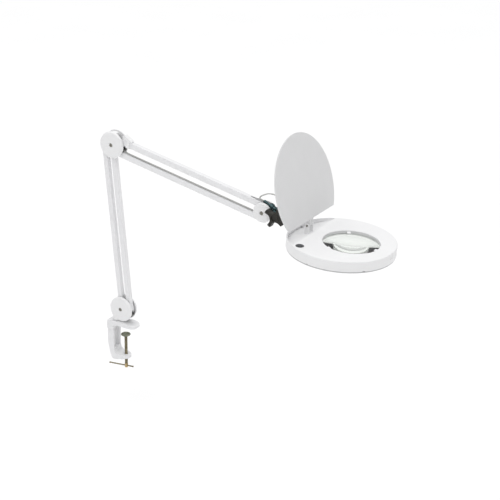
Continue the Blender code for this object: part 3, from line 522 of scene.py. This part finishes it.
def make_clamp_screw(heading):
    """The thread, the plain tip that turns in the pad, and the head that is drilled for the bar."""
    low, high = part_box("clamp_screw")
    half = (high[2] - low[2]) / MM / 2
    axis = place_of(in_plane(middle("clamp_screw")))
    thread_r, thread_depth, pitch = 3.6, 0.6, 1.25
    body = thread(thread_r, thread_depth, pitch, -half + 10.6, half - 4.0, axis)
    show("clamp_screw_thread", body, "screw_plate", "screw", ["clamp_screw"], 50)
    tip_r = 2.6
    tip_low = half - 4.2
    tip = [(0.0, half), (tip_r - 0.1, half), (tip_r, half - 0.2), (tip_r, half - 3.4),
           (tip_r - 0.2, tip_low), (0.0, tip_low)]
    show("clamp_screw_tip", lathe(tip, axis, 48), "screw_plate", "screw")
    head_r = 3.9
    head_top = -half + 10.9
    head = [(0.0, head_top), (head_r - 0.6, head_top), (head_r - 0.1, head_top - 0.5),
            (head_r, head_top - 1.1), (head_r, -half + 1.2), (head_r - 0.3, -half + 0.4),
            (head_r - 0.9, -half), (0.0, -half)]
    bar_r = 1.9
    bar_z = (middle("tommy_bar").z - middle("clamp_screw").z) / MM
    swung = axis @ Matrix.Rotation(heading, 4, "Z")
    bar_hole = rod(bar_r, (-12, 0, bar_z), (12, 0, bar_z), swung)
    drilled = shaped(lathe(head, axis, 64), "DIFFERENCE", bar_hole)
    show("clamp_screw_head", drilled, "brass", "screw")


def make_tommy_bar(heading):
    """A thin bar with a round knob at each end; half of its outline is mirrored."""
    knob = 2.4
    knob_length = 4.2
    stem = 1.6
    half = (size("tommy_bar").x - 2 * knob * math.sin(heading)) / math.cos(heading) / 2
    rounding = arc((0.0, half - knob), knob, 90, 15, 6)
    bar = [(0.0, half)] + rounding[1:] + [(stem, half - knob_length)]
    bar += [(radius, -height) for radius, height in reversed(bar)]
    along = place_of(middle("tommy_bar")) @ Matrix.Rotation(heading, 4, "Z")
    show("tommy_bar_turned", lathe(bar, lengthways(along), 32), "bar_plate", "handle",
         ["tommy_bar"])


def make_swivel_pad():
    """The pad that presses on the desk: ridged face, rounded rim, and a socket for the screw's tip."""
    pad = size("swivel_pad")
    radius = pad.x / 2
    top = pad.z / 2
    valley = top - 0.5
    crest = top - 0.05
    ridge_gap = 1.7
    profile = [(0.0, valley)]
    for ridge in range(5):
        inner = 1.6 + ridge * ridge_gap
        profile += [(inner, valley), (inner + 0.3, crest), (inner + 1.2, crest), (inner + 1.5, valley)]
    profile += [(radius - 0.9, top), (radius - 0.2, top - 0.4), (radius, top - 1.2), (radius, top - 2.6),
                (radius - 0.5, top - 3.2)]
    socket = 2.95
    socket_top = top - 4.2
    bottom = top - 6.2
    profile += [(6.4, bottom + 0.3), (6.0, bottom), (socket, bottom), (socket, socket_top),
                (0.0, socket_top)]
    show("swivel_pad_turned", lathe(profile, place_of(middle("swivel_pad"))), "zinc", "clamp_foot",
         ["swivel_pad"])


# ---------------------------------------------------------------- joints

# Radii and heights of the round covers; the wall is their thickness at the rim.
COVER_HOLE = 2.4
COVER_SEAT = 12.8
COVER_INSIDE = 11.5
COVER_WALL = 1.6


def cover_profile(radius):
    """The domed cup with its countersunk seat; heights are distances from the mid-plane."""
    crown = 14.55
    dome = 1.1
    steps = 12
    edge = 4.0
    sink = 4.8
    start = sink + 0.4
    points = [(COVER_HOLE, COVER_SEAT), (sink - 0.1, COVER_SEAT), (sink, COVER_SEAT + 0.15), (sink, 14.2),
              (start, crown)]
    for step in range(1, steps + 1):
        spot = start + (radius - edge - start) * step / steps
        points.append((spot, crown - dome * (spot / radius) ** 3))
    shoulder = points[-1][1]
    points += arc((radius - edge, shoulder - edge), edge, 80, 0, 8)
    points += [(radius, 8.1), (radius - 0.2, 7.9), (radius - COVER_WALL, 7.9), (radius - COVER_WALL, 9.7),
               (radius * 0.86, COVER_INSIDE), (COVER_HOLE, COVER_INSIDE)]
    return points


def with_foot(cup, side, radius):
    """A base cover with its square foot, hollowed again where the foot fills the cup."""
    foot_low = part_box(f"base_cover_{side}")[0][2] / MM - BASE.translation.z / MM
    rear, front, top = -22.0, -8.0, -16.0
    outline = [(rear, foot_low), (front, foot_low), (front, top), (rear, top)]
    low, high = (8.0, 13.6) if side == "near" else (-13.6, -8.0)
    foot = bevelled(slab(outline, low, high, sideways(BASE)), 1.2)
    half_gap = 11.2
    inside = rod(radius - COVER_WALL - 0.15, (0, -half_gap, 0), (0, half_gap, 0), BASE, 96)
    return shaped(shaped(cup, "UNION", foot), "DIFFERENCE", inside)


def cross_screw(place):
    """A countersunk screw with a cross recess."""
    shank = 1.7
    under = 12.85
    shank_end = 9.5
    profile = [(0.0, 14.0), (2.4, 13.95), (3.6, 13.6), (4.1, 13.1), (4.2, under), (shank, under),
               (shank, shank_end), (0.0, shank_end)]
    reach = 2.6
    slot = 0.45
    cross = [box((-x, -y, 12.9), (x, y, 15.0), place) for x, y in ((reach, slot), (slot, reach))]
    return shaped(lathe(profile, place, 48), "DIFFERENCE", *cross)


def make_cover(prefix, side):
    """One round cover of a joint, near or far, with its screw."""
    radius = size(f"{prefix}_cover_far").x / 2
    turn = Matrix.Rotation(math.radians(90 if side == "near" else -90), 4, "X")
    place = JOINT_PLACE[prefix] @ turn
    cup = lathe(cover_profile(radius), place, 128, closed=True)
    if prefix == "base":
        cup = with_foot(cup, side, radius)
    show(f"{prefix}_cover_{side}_fine", cup, "white_plastic", prefix,
         [f"{prefix}_cover_{side}"], 30)
    show(f"{prefix}_screw_{side}_fine", cross_screw(place), "steel", prefix,
         [f"{prefix}_screw_{side}"])


def make_joints():
    """The covers and the moulded cores of the three joints, and the stop in the base's mouth."""
    for prefix in JOINT_PLACE:
        for side in ("near", "far"):
            make_cover(prefix, side)
    cores = (("base_yoke", "base", "white_plastic"), ("lower_stop", "base", "black_plastic"),
             ("elbow_core", "elbow", "white_plastic"), ("end_core", "end", "white_plastic"))
    for node, body, finish in cores:
        show(f"{node}_moulded", cast(node, 0.45, 5), finish, body, [node], 50)


# ---------------------------------------------------------------- arms

def between(start, finish):
    """The vector from one joint to another, in metres."""
    return Vector(JOINTS[finish]["pos_m"]) - Vector(JOINTS[start]["pos_m"])


def coil(low, high, place):
    """A balance spring along local Z: a straight tail, close turns, a straight tail."""
    turns = 34
    around = 14
    radius = 3.2
    tail = 8.0
    lead = 12.0
    points = [Vector((0.0, 0.0, low)), Vector((0.0, 0.0, low + tail))]
    for step in range(turns * around + 1):
        angle = 2 * math.pi * step / around
        height = low + lead + (high - low - 2 * lead) * step / (turns * around)
        points.append(Vector((radius * math.cos(angle), radius * math.sin(angle), height)))
    points += [Vector((0.0, 0.0, high - tail)), Vector((0.0, 0.0, high))]
    wire_r = 0.7
    return wire(points, wire_r, place, 1)


def make_arms():
    """The springs, the collar, the cable block and the arm cable; the tubes stay as the CAD has them."""
    run = between("lower_arm_tilt", "elbow_level")
    lower = place_of(JOINTS["lower_front_tilt"]["pos_m"], math.degrees(math.atan2(run.x, run.z)))
    show("lower_spring_fine", coil(30.0, 190.0, lower), "spring", "lower_front",
         ["lower_spring"], 180)
    run = between("upper_arm_tilt", "end_level")
    upper = place_of(JOINTS["upper_bottom_tilt"]["pos_m"], math.degrees(math.atan2(-run.z, run.x)))
    show("upper_spring_fine", coil(40.0, 180.0, lengthways(upper)), "spring", "upper_bottom",
         ["upper_spring"], 180)
    show("tube_collar_moulded", cast("tube_collar", 0.35, 4), "white_plastic", "upper_top",
         ["tube_collar"], 50)
    show("cable_block_moulded", cast("cable_block", 0.4, 4), "black_plastic", "upper_bottom",
         ["cable_block"], 50)
    length = run.length / MM
    cable_r = 1.8
    route = [(9.0, -3.0, 11.4), (15.0, -3.0, 11.2), (21.0, -3.3, 9.8), (30.0, -3.6, 9.2), (60.0, -3.6, 9.1),
             (120.0, -3.6, 9.2), (200.0, -3.6, 9.3), (280.0, -3.6, 9.2), (length - 14.0, -3.6, 9.1)]
    show("arm_cable_fine", wire(smooth_path(route, 4.0), cable_r, upper), "arm_sheath", "upper_bottom",
         ["arm_cable"], 180)


# ---------------------------------------------------------------- neck and knob

# The fork's half width and half gap, the bolt hole, and the knob with the four scoops that leave its lobes.
FORK_HALF = 9.0
FORK_GAP = 5.8
BOLT_HOLE = 3.3
KNOB_R = 23.5
SCOOP_R = 12.2
SCOOP_FROM = 21.9
LOBE_ANGLE = 59.0


def make_neck():
    """The shaft, the fork that holds the head's bracket, and the nut on the tilt bolt."""
    make_shaft()
    side = sideways(NECK)
    fork_r, fork_rear, gap_rear = 8.0, -14.8, -10.5
    fork = slab(strip((fork_rear, 0), (0, 0), fork_r, 32), -FORK_HALF, FORK_HALF, side)
    fork = bevelled(fork, 1.0)
    gap = box((gap_rear, -30, -FORK_GAP), (30, 30, FORK_GAP), side)
    fork = shaped(fork, "DIFFERENCE", gap, rod(BOLT_HOLE, (0, -12, 0), (0, 12, 0), NECK))
    show("neck_fork_fine", fork, "chrome", "neck")
    nut_r, nut_far, nut_near = 6.2, -14.0, -9.3
    corners = [math.radians(60 * corner) for corner in range(6)]
    outline = [(nut_r * math.cos(angle), nut_r * math.sin(angle)) for angle in corners]
    nut = bevelled(slab(outline, nut_far, nut_near, sideways(TILT)), 0.5, 2)
    nut = shaped(nut, "DIFFERENCE", rod(BOLT_HOLE, (0, 0, 0), (0, 20, 0), TILT))
    show("tilt_nut_fine", nut, "steel", "neck", ["tilt_nut"])


def make_shaft():
    """The hollow shaft with its thinner rear end, and the plated sleeve on its bearing ring."""
    along = lengthways(NECK)
    thick, thin, bore = 6.0, 3.5, 1.9
    front, step, rear = -13.0, -30.8, -46.5
    shaft = [(thick, front), (thick, step + 1.2), (thick - 0.4, step + 0.4), (thin + 0.2, step),
             (thin, step - 0.4), (thin, rear + 0.5), (thin - 0.4, rear), (bore + 0.2, rear),
             (bore, rear + 0.3), (bore, front)]
    show("neck_shaft_turned", lathe(shaft, along, closed=True), "chrome", "neck", ["neck_shaft"])
    inner, outer = 6.5, 7.7
    low, high, skin = -29.2, -21.8, 0.15
    bush = [(inner, low + skin), (inner, low), (outer - 0.2, low), (outer, low + 0.2), (outer, high - 0.2),
            (outer - 0.2, high), (inner, high), (inner, high - skin), (outer - 0.2, high - skin),
            (outer - 0.2, low + skin)]
    show("neck_bush", lathe(bush, along, closed=True), "chrome", "end")


def knob_outline():
    """Four arms left by four round scoops out of a disc."""
    steps = 160
    points = []
    for step in range(steps):
        angle = 2 * math.pi * step / steps
        off = (angle - math.radians(LOBE_ANGLE)) % (math.pi / 2) - math.pi / 4
        inside = SCOOP_R ** 2 - (SCOOP_FROM * math.sin(off)) ** 2
        edge = KNOB_R
        if inside > 0:
            edge = min(edge, SCOOP_FROM * math.cos(off) - math.sqrt(inside))
        points.append((edge * math.cos(angle), edge * math.sin(angle)))
    return points


def make_knob():
    """The four-lobed tilt knob with a dish round its bolt."""
    low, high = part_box("tilt_knob")
    near, far = -low[1] / MM, -high[1] / MM
    body = bevelled(slab(knob_outline(), far, near, sideways(TILT)), 1.3, 3, 50)
    dish_r, dish_depth, bore_r = 6.5, 2.0, 3.25
    dish = rod(dish_r, (0, -near - 2, 0), (0, -near + dish_depth, 0), TILT, 64)
    bore = rod(bore_r, (0, -far - 9, 0), (0, -far + 9, 0), TILT)
    show("tilt_knob_fine", shaped(body, "DIFFERENCE", dish, bore), "black_plastic", "knob",
         ["tilt_knob"], 40)


# ---------------------------------------------------------------- head

# The head's frame has its origin on the lens axis, at the housing's top face, with X to the front. The round
# housing's own centre is at HEAD_X. The lid's frame has its origin on the hinge, with X along the lid.
HEAD_R = 115.4
HEAD_X = -22.0
DEPTH = 22.0
WALL = 2.4
LENS_R = 63.5
LENS_EDGE = 1.0
LENS_BULGE = 7.5
OPENING_R = 60.0
CHORD_X = -87.0
RECESS_STEP = 4.0
RECESS_REAR = 13.0
BUTTON = (-74.0, -87.0)
BUTTON_R = 6.3
GLAND_Y = 26.0
GLAND_Z = -12.0
GLAND_X = HEAD_X - math.sqrt(HEAD_R ** 2 - GLAND_Y ** 2)
BRACKET_SCREW_Y = 11.0
BRACKET_SCREW_Z = -11.5
LID_HINGE = (-100.4, 12.0)
LID_PIN_R = 2.3
LID_LEVEL = -10.2
LID_OPEN = 109.0
LID_R = 117.5
LID_CENTRE = 77.4
LID_EDGE = 12.4


def shifted(place, x=0.0, y=0.0, z=0.0):
    """A frame moved along its own axes, in its own unit."""
    return place @ Matrix.Translation((x, y, z))


def recess_wedge(drop):
    """The wedge that the recess takes from behind the chord, with a softened top edge."""
    rear = HEAD_X - HEAD_R - 10.0
    slope = (RECESS_REAR - RECESS_STEP) / (CHORD_X - (HEAD_X - HEAD_R))
    start = -RECESS_STEP - drop
    edge = CHORD_X + drop
    above = 30.0
    half_width = 140
    outline = [(edge + 1.4, above), (edge + 1.4, 0.3), (edge + 0.2, -0.2), (edge, -0.7), (edge, start + 0.8),
               (edge - 0.25, start + 0.25), (edge - 0.8, start), (rear, start - slope * (CHORD_X - rear)),
               (rear, above)]
    return slab(outline, -half_width, half_width, sideways(HEAD))


def housing_cuts(centre):
    """What is taken out of the housing: recess, hollow, openings, scoop, rim notches and screw holes."""
    inside = HEAD_R - WALL
    below = (0, 0, -40)
    pocket = shaped(recess_wedge(0.0), "INTERSECT", rod(inside, below, (0, 0, 10), centre, 192))
    hollow = rod(inside, below, (0, 0, -WALL), centre, 192)
    well_inner, well_outer, well_low = LENS_R + 0.4, LENS_R + 2.2, -DEPTH + 1.0
    well = [(well_outer, 10), (well_outer, well_low), (well_inner, well_low), (well_inner, 10)]
    hollow = shaped(hollow, "DIFFERENCE", recess_wedge(WALL), lathe(well, HEAD, 128, closed=True))
    lip_r = OPENING_R + 2.0
    lip = [(0.0, 8.0), (lip_r, 8.0), (lip_r, 0.5), (OPENING_R + 0.3, -0.3), (OPENING_R, -1.0),
           (OPENING_R, -9.0), (0.0, -9.0)]
    button_hole = rod(BUTTON_R + 0.7, (*BUTTON, -9), (*BUTTON, 9), HEAD)
    scoop_r = 11.0
    scoop_x = HEAD_X + HEAD_R + 9.2
    scoop = rod(scoop_r, (scoop_x, 0, -13.0), (scoop_x, 0, 9.0), HEAD, 96)
    gland_r = 2.6
    gland_hole = rod(gland_r, (GLAND_X - 8, GLAND_Y, GLAND_Z), (GLAND_X + 8, GLAND_Y, GLAND_Z), HEAD, 32)
    cuts = [pocket, hollow, lathe(lip, HEAD, 160), button_hole, scoop, gland_hole]
    notch = Vector((1.6, 2.6, 1.4))
    for step in range(6):
        angle = math.radians(60 * step - 39.5)
        spot = shifted(HEAD, HEAD_X + HEAD_R * math.cos(angle), HEAD_R * math.sin(angle), -DEPTH)
        cuts.append(box(-notch, notch, spot @ Matrix.Rotation(angle, 4, "Z")))
    screw_r = 1.9
    rear = HEAD_X - HEAD_R
    for y in (-BRACKET_SCREW_Y, BRACKET_SCREW_Y):
        cuts.append(rod(screw_r, (rear - 9, y, BRACKET_SCREW_Z), (rear + 9, y, BRACKET_SCREW_Z), HEAD, 24))
    return cuts


def make_housing():
    """The round white housing with the two ears of the lid's hinge."""
    centre = shifted(HEAD, HEAD_X)
    edge = 2.4
    outer = [(0.0, 0.0)] + arc((HEAD_R - edge, -edge), edge, 90, 0, 6) + [(HEAD_R, -DEPTH), (0.0, -DEPTH)]
    housing = shaped(lathe(outer, centre, 192), "DIFFERENCE", *housing_cuts(centre))
    hinge_x, hinge_z = LID_HINGE
    ear_r, ear_foot = 5.0, -8.5
    ears = []
    for low, high in ((-10.0, -7.0), (7.0, 10.0)):
        ear = slab(strip((hinge_x, ear_foot), LID_HINGE, ear_r), low, high, sideways(HEAD))
        ears.append(bevelled(ear, 0.5, 2))
    housing = shaped(housing, "UNION", *ears)
    pin_hole = rod(LID_PIN_R, (hinge_x, -16, hinge_z), (hinge_x, 16, hinge_z), HEAD, 32)
    housing = shaped(housing, "DIFFERENCE", pin_hole)
    show("head_housing_fine", housing, "white_plastic", "head", ["head_housing"], 28)


def make_lower_cover():
    """The ring that closes the head from below, in a grey that is painted shade for the dark line along the head's
    bottom edge, and the diffuser in its hole.
    """
    centre = shifted(HEAD, HEAD_X)
    top = -DEPTH - 0.3
    low = top - 2.8
    rim = HEAD_R - 0.8
    edge = 1.0
    outline = [(0.0, top), (rim - 0.2, top), (rim, top - 0.2)]
    outline += arc((rim - edge, low + edge), edge, 0, -90, 4) + [(0.0, low)]
    hole_r = 89.3
    hole = [(0.0, 0.0), (hole_r, 0.0), (hole_r, low + 0.6), (hole_r + 0.6, low), (hole_r + 0.6, -40.0),
            (0.0, -40.0)]
    cover = shaped(lathe(outline, centre, 192), "DIFFERENCE", lathe(hole, HEAD, 160))
    # The grey of the lower cover is painted shade along the head's bottom edge.
    show("lower_cover_fine", cover, "painted_shade_grey", "head", ["head_lower_cover"], 28)
    inner, outer = 66.0, 89.0
    plate_top, plate_low = -22.6, -24.8
    plate = [(outer, plate_top - 0.2), (outer, plate_low + 0.3), (outer - 0.3, plate_low),
             (inner + 0.3, plate_low), (inner, plate_low + 0.3), (inner, plate_top - 0.2),
             (inner + 0.2, plate_top), (outer - 0.2, plate_top)]
    show("diffuser_fine", lathe(plate, HEAD, 160, closed=True), "diffuser", "head",
         ["diffuser"])


def make_lens_clips():
    """Three white clips that hold the lens down, and the trim ring under the lip of the opening."""
    for angle in (-119.0, 2.0, 122.0):
        turn = HEAD @ Matrix.Rotation(math.radians(angle), 4, "Z")
        tab = bevelled(box((52.5, -4.2, -5.4), (62.8, 4.2, -3.0), turn), 0.9)
        post = bevelled(box((57.0, -2.4, -4.6), (62.8, 2.4, -2.5), turn), 0.5, 2)
        show(f"lens_clip_{round(angle) % 360}", shaped(tab, "UNION", post), "white_plastic", "head")
    inner = OPENING_R + 0.2
    outer = OPENING_R + 3.2
    top, low = -2.45, -6.7
    trim = [(inner + 0.1, top), (inner, top - 0.35), (inner, low + 0.3), (inner + 0.3, low), (outer, low),
            (outer, top)]
    show("lens_trim", lathe(trim, HEAD, 160, closed=True), "white_plastic", "head")


def lens_profile():
    """Two shallow paraboloids that meet at a thin edge."""
    steps = 24
    radii = [LENS_R * step / steps for step in range(steps + 1)]
    rises = [LENS_EDGE + LENS_BULGE * (1 - (step / steps) ** 2) for step in range(steps + 1)]
    top = [(radius, -LENS_DEPTH + rise) for radius, rise in zip(radii, rises)]
    low = [(radius, -LENS_DEPTH - rise) for radius, rise in zip(radii, rises)]
    return top + low[::-1]


def make_optics():
    """The lens, what holds it, and the ring of light chips round it."""
    show("lens_fine", lathe(lens_profile(), HEAD, 160), "glass", "head", ["lens"], 40)
    make_lens_clips()
    outer = LENS_R + 0.1
    seat = -LENS_DEPTH - LENS_EDGE - 0.4
    ring = [(outer, seat), (outer, -20.0), (OPENING_R + 0.5, -20.0), (OPENING_R + 0.5, -12.4),
            (OPENING_R + 2.0, seat)]
    show("lens_ring_fine", lathe(ring, HEAD, 160, closed=True), "white_plastic", "head",
         ["lens_ring"], 30)
    chips = bmesh.new()
    count = 60
    ring_r, chip_z = 75.5, -4.9
    chip = Matrix.Diagonal((3.5, 2.8, 0.7, 1.0))
    for step in range(count):
        turn = Matrix.Rotation(2 * math.pi * step / count, 4, "Z")
        spot = shifted(turn, ring_r, 0.0, chip_z)
        bmesh.ops.create_cube(chips, size=1.0, matrix=spot @ chip)
    show("light_chips", bake(chips, HEAD, "chips"), "light_chip", "head")


def make_switch():
    """The round push button and the bezel round it."""
    spot = shifted(HEAD, BUTTON[0], BUTTON[1])
    inner = BUTTON_R + 0.3
    outer = 8.8
    bezel = [(inner, 0.3), (outer, 0.3), (outer - 0.1, 0.7), (outer - 0.5, 0.9), (inner + 0.4, 0.9),
             (inner, 0.6)]
    show("switch_bezel_fine", lathe(bezel, spot, closed=True), "grey_button", "head",
         ["switch_bezel"])
    cap_r = 6.0
    stem = 1.9
    cap = [(0.0, 1.1), (2.5, 1.15), (4.4, 1.3), (5.0, 1.35), (5.6, 1.1), (cap_r, 0.7), (cap_r, -2.4),
           (stem, -2.4), (stem, -7.0), (0.0, -7.0)]
    show("switch_button_fine", lathe(cap, spot), "grey_button", "button", ["switch_button"])


def make_lid():
    """The round lid with its straight rear edge, and the arm that holds it on the pin."""
    hinge = place_of(JOINTS["lid_hinge"]["pos_m"], HEAD_ANGLE - LID_OPEN)
    half_chord = math.sqrt(LID_R ** 2 - (LID_CENTRE - LID_EDGE) ** 2)
    start = math.degrees(math.atan2(half_chord, LID_EDGE - LID_CENTRE))
    outline = arc((LID_CENTRE, 0.0), LID_R, -start, start, 180)
    thickness = 2.2
    plate = bevelled(slab(outline, LID_LEVEL, LID_LEVEL + thickness, hinge), 0.6, 3, 30)
    arm_foot, arm_r, arm_half = (26.0, LID_LEVEL + 0.6), 4.6, 6.4
    arm = slab(strip(arm_foot, (0.0, 0.0), arm_r), -arm_half, arm_half, sideways(hinge))
    arm = shaped(arm, "DIFFERENCE", box((-30, -20, -40), (60, 20, LID_LEVEL), hinge))
    lid = shaped(plate, "UNION", arm)
    lid = shaped(lid, "DIFFERENCE", rod(LID_PIN_R, (0, -12, 0), (0, 12, 0), hinge, 32))
    show("lens_cover_fine", lid, "lid_white", "lid", ["lens_cover"], 28)


def make_head_cable():
    """One cable from the hollow shaft's rear end, over the joint and down to the gland."""
    rear = [(-47.2, 0, 0), (-52.5, 0, -0.8), (-56.6, 0, -1.4), (-58.2, 0, 1.2), (-56.4, 0, 6.5),
            (-52.6, 0, 12.4), (-45.5, 1.0, 20.6), (-35.3, 2.5, 26.0), (-24.0, 4.0, 27.0)]
    points = [NECK @ Vector(point) / MM for point in rear]
    start = HEAD.inverted() @ NECK @ Vector(rear[-1])
    front = [start + Vector((12.0, 4.0, -3.5)), start + Vector((22.0, 12.0, -16.0)),
             Vector((GLAND_X - 16.0, 22.0, 2.0)), Vector((GLAND_X - 14.0, GLAND_Y, -9.0)),
             Vector((GLAND_X - 8.2, GLAND_Y, GLAND_Z))]
    points += [HEAD @ point / MM for point in front]
    cable_r = 1.4
    cable = show("head_cable_fine", wire(smooth_path(points, 1.5), cable_r, ORIGIN), "grey_cable", None,
                 ["head_cable_rear", "head_cable_front"], 180)
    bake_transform(cable)


def finish_frame_nodes():
    """The CAD nodes that stay get the same materials as the pieces around them."""
    slots = {row["node"]: row["material_slot"] for row in frame["record"]["subparts"]}
    for name, node in frame["nodes"].items():
        white = name.startswith("bracket_screw") or name == "cable_gland"
        node.data.materials.clear()
        node.data.materials.append(MATERIALS["white_plastic" if white else slots[name]])
        crisp(node.data, 32)


# ---------------------------------------------------------------- light, floor and camera

AZIMUTH = 30.4
ELEVATION = 22.3
ROLL = 1.1
DISTANCE = 2.9353
TARGET = Vector((0.3407, 0.0, 0.2659))
LENS = 97.56
FLOOR_HALF = 150.0
FLOOR_DROP = 0.12


def softbox(name, place, target, width, power):
    """A round lamp of a given width that faces a target."""
    lamp = bpy.data.lights.new(name, "AREA")
    lamp.shape = "DISK"
    lamp.size = width
    lamp.energy = power
    thing = bpy.data.objects.new(name, lamp)
    thing.location = place
    bpy.context.scene.collection.objects.link(thing)
    run = Vector(target) - thing.location
    thing.rotation_mode = "QUATERNION"
    thing.rotation_quaternion = run.to_track_quat("-Z", "Y")


def make_floor():
    """A wide sheet of paper below the lamp, whose own edge stays out of sight."""
    bm = bmesh.new()
    bmesh.ops.create_grid(bm, x_segments=2, y_segments=2, size=FLOOR_HALF)
    mesh = bpy.data.meshes.new("floor")
    bm.to_mesh(mesh)
    bm.free()
    floor = bpy.data.objects.new("floor", mesh)
    floor.location.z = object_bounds()[0].z - FLOOR_DROP
    material, tree, shader = new_material("floor_paper", (0.97, 0.97, 0.97), 0.9)
    tone = blend_colours(tree, noise(tree, 3.0, 2.0), (0.965, 0.965, 0.965), (0.975, 0.975, 0.975))
    tree.links.new(tone, shader.inputs["Base Color"])
    mesh.materials.append(material)
    bpy.context.scene.collection.objects.link(floor)


def make_world():
    """A studio that is bright overhead and dimmer round the horizon."""
    world = bpy.data.worlds.new("studio")
    bpy.context.scene.world = world
    world.use_nodes = True
    tree = world.node_tree
    back = tree.nodes["Background"]
    where = tree.nodes.new("ShaderNodeTexCoord")
    split = tree.nodes.new("ShaderNodeSeparateXYZ")
    tree.links.new(where.outputs["Generated"], split.inputs["Vector"])
    sky = blend_colours(tree, split.outputs["Z"], (0.07, 0.071, 0.074), (1.0, 1.0, 1.0), 0.0, 1.0)
    tree.links.new(sky, back.inputs["Color"])
    back.inputs["Strength"].default_value = 1.5


def make_camera():
    """A camera at an azimuth, elevation and roll about its target."""
    data = bpy.data.cameras.new("camera")
    data.sensor_width = 36.0
    data.lens = LENS
    data.clip_start = 0.05
    data.clip_end = 400.0
    camera = bpy.data.objects.new("camera", data)
    bpy.context.scene.collection.objects.link(camera)
    bpy.context.scene.camera = camera
    turn = math.radians(AZIMUTH)
    rise = math.radians(ELEVATION)
    back = Vector((math.sin(turn) * math.cos(rise), -math.cos(turn) * math.cos(rise), math.sin(rise)))
    right = Vector((math.cos(turn), math.sin(turn), 0.0))
    up = back.cross(right)
    roll = math.radians(ROLL)
    across = math.cos(roll) * right + math.sin(roll) * up
    top = math.cos(roll) * up - math.sin(roll) * right
    facing = Matrix((across, top, back)).transposed().to_4x4()
    camera.matrix_world = Matrix.Translation(TARGET + back * DISTANCE) @ facing


def make_lights():
    """A large soft light overhead, a weak one from the right, and plain colours."""
    softbox("key", (0.2, -1.0, 2.8), (0.35, 0.0, 0.3), 1.8, 7.0)
    softbox("fill", (2.4, -1.6, 1.2), (0.4, 0.0, 0.3), 1.6, 1.5)
    bpy.context.scene.view_settings.view_transform = "Standard"


finish_frame_nodes()
make_camera()
make_clamp()
make_joints()
make_arms()
make_neck()
make_knob()
make_housing()
make_lower_cover()
make_optics()
make_switch()
make_lid()
make_head_cable()
make_floor()
make_world()
make_lights()
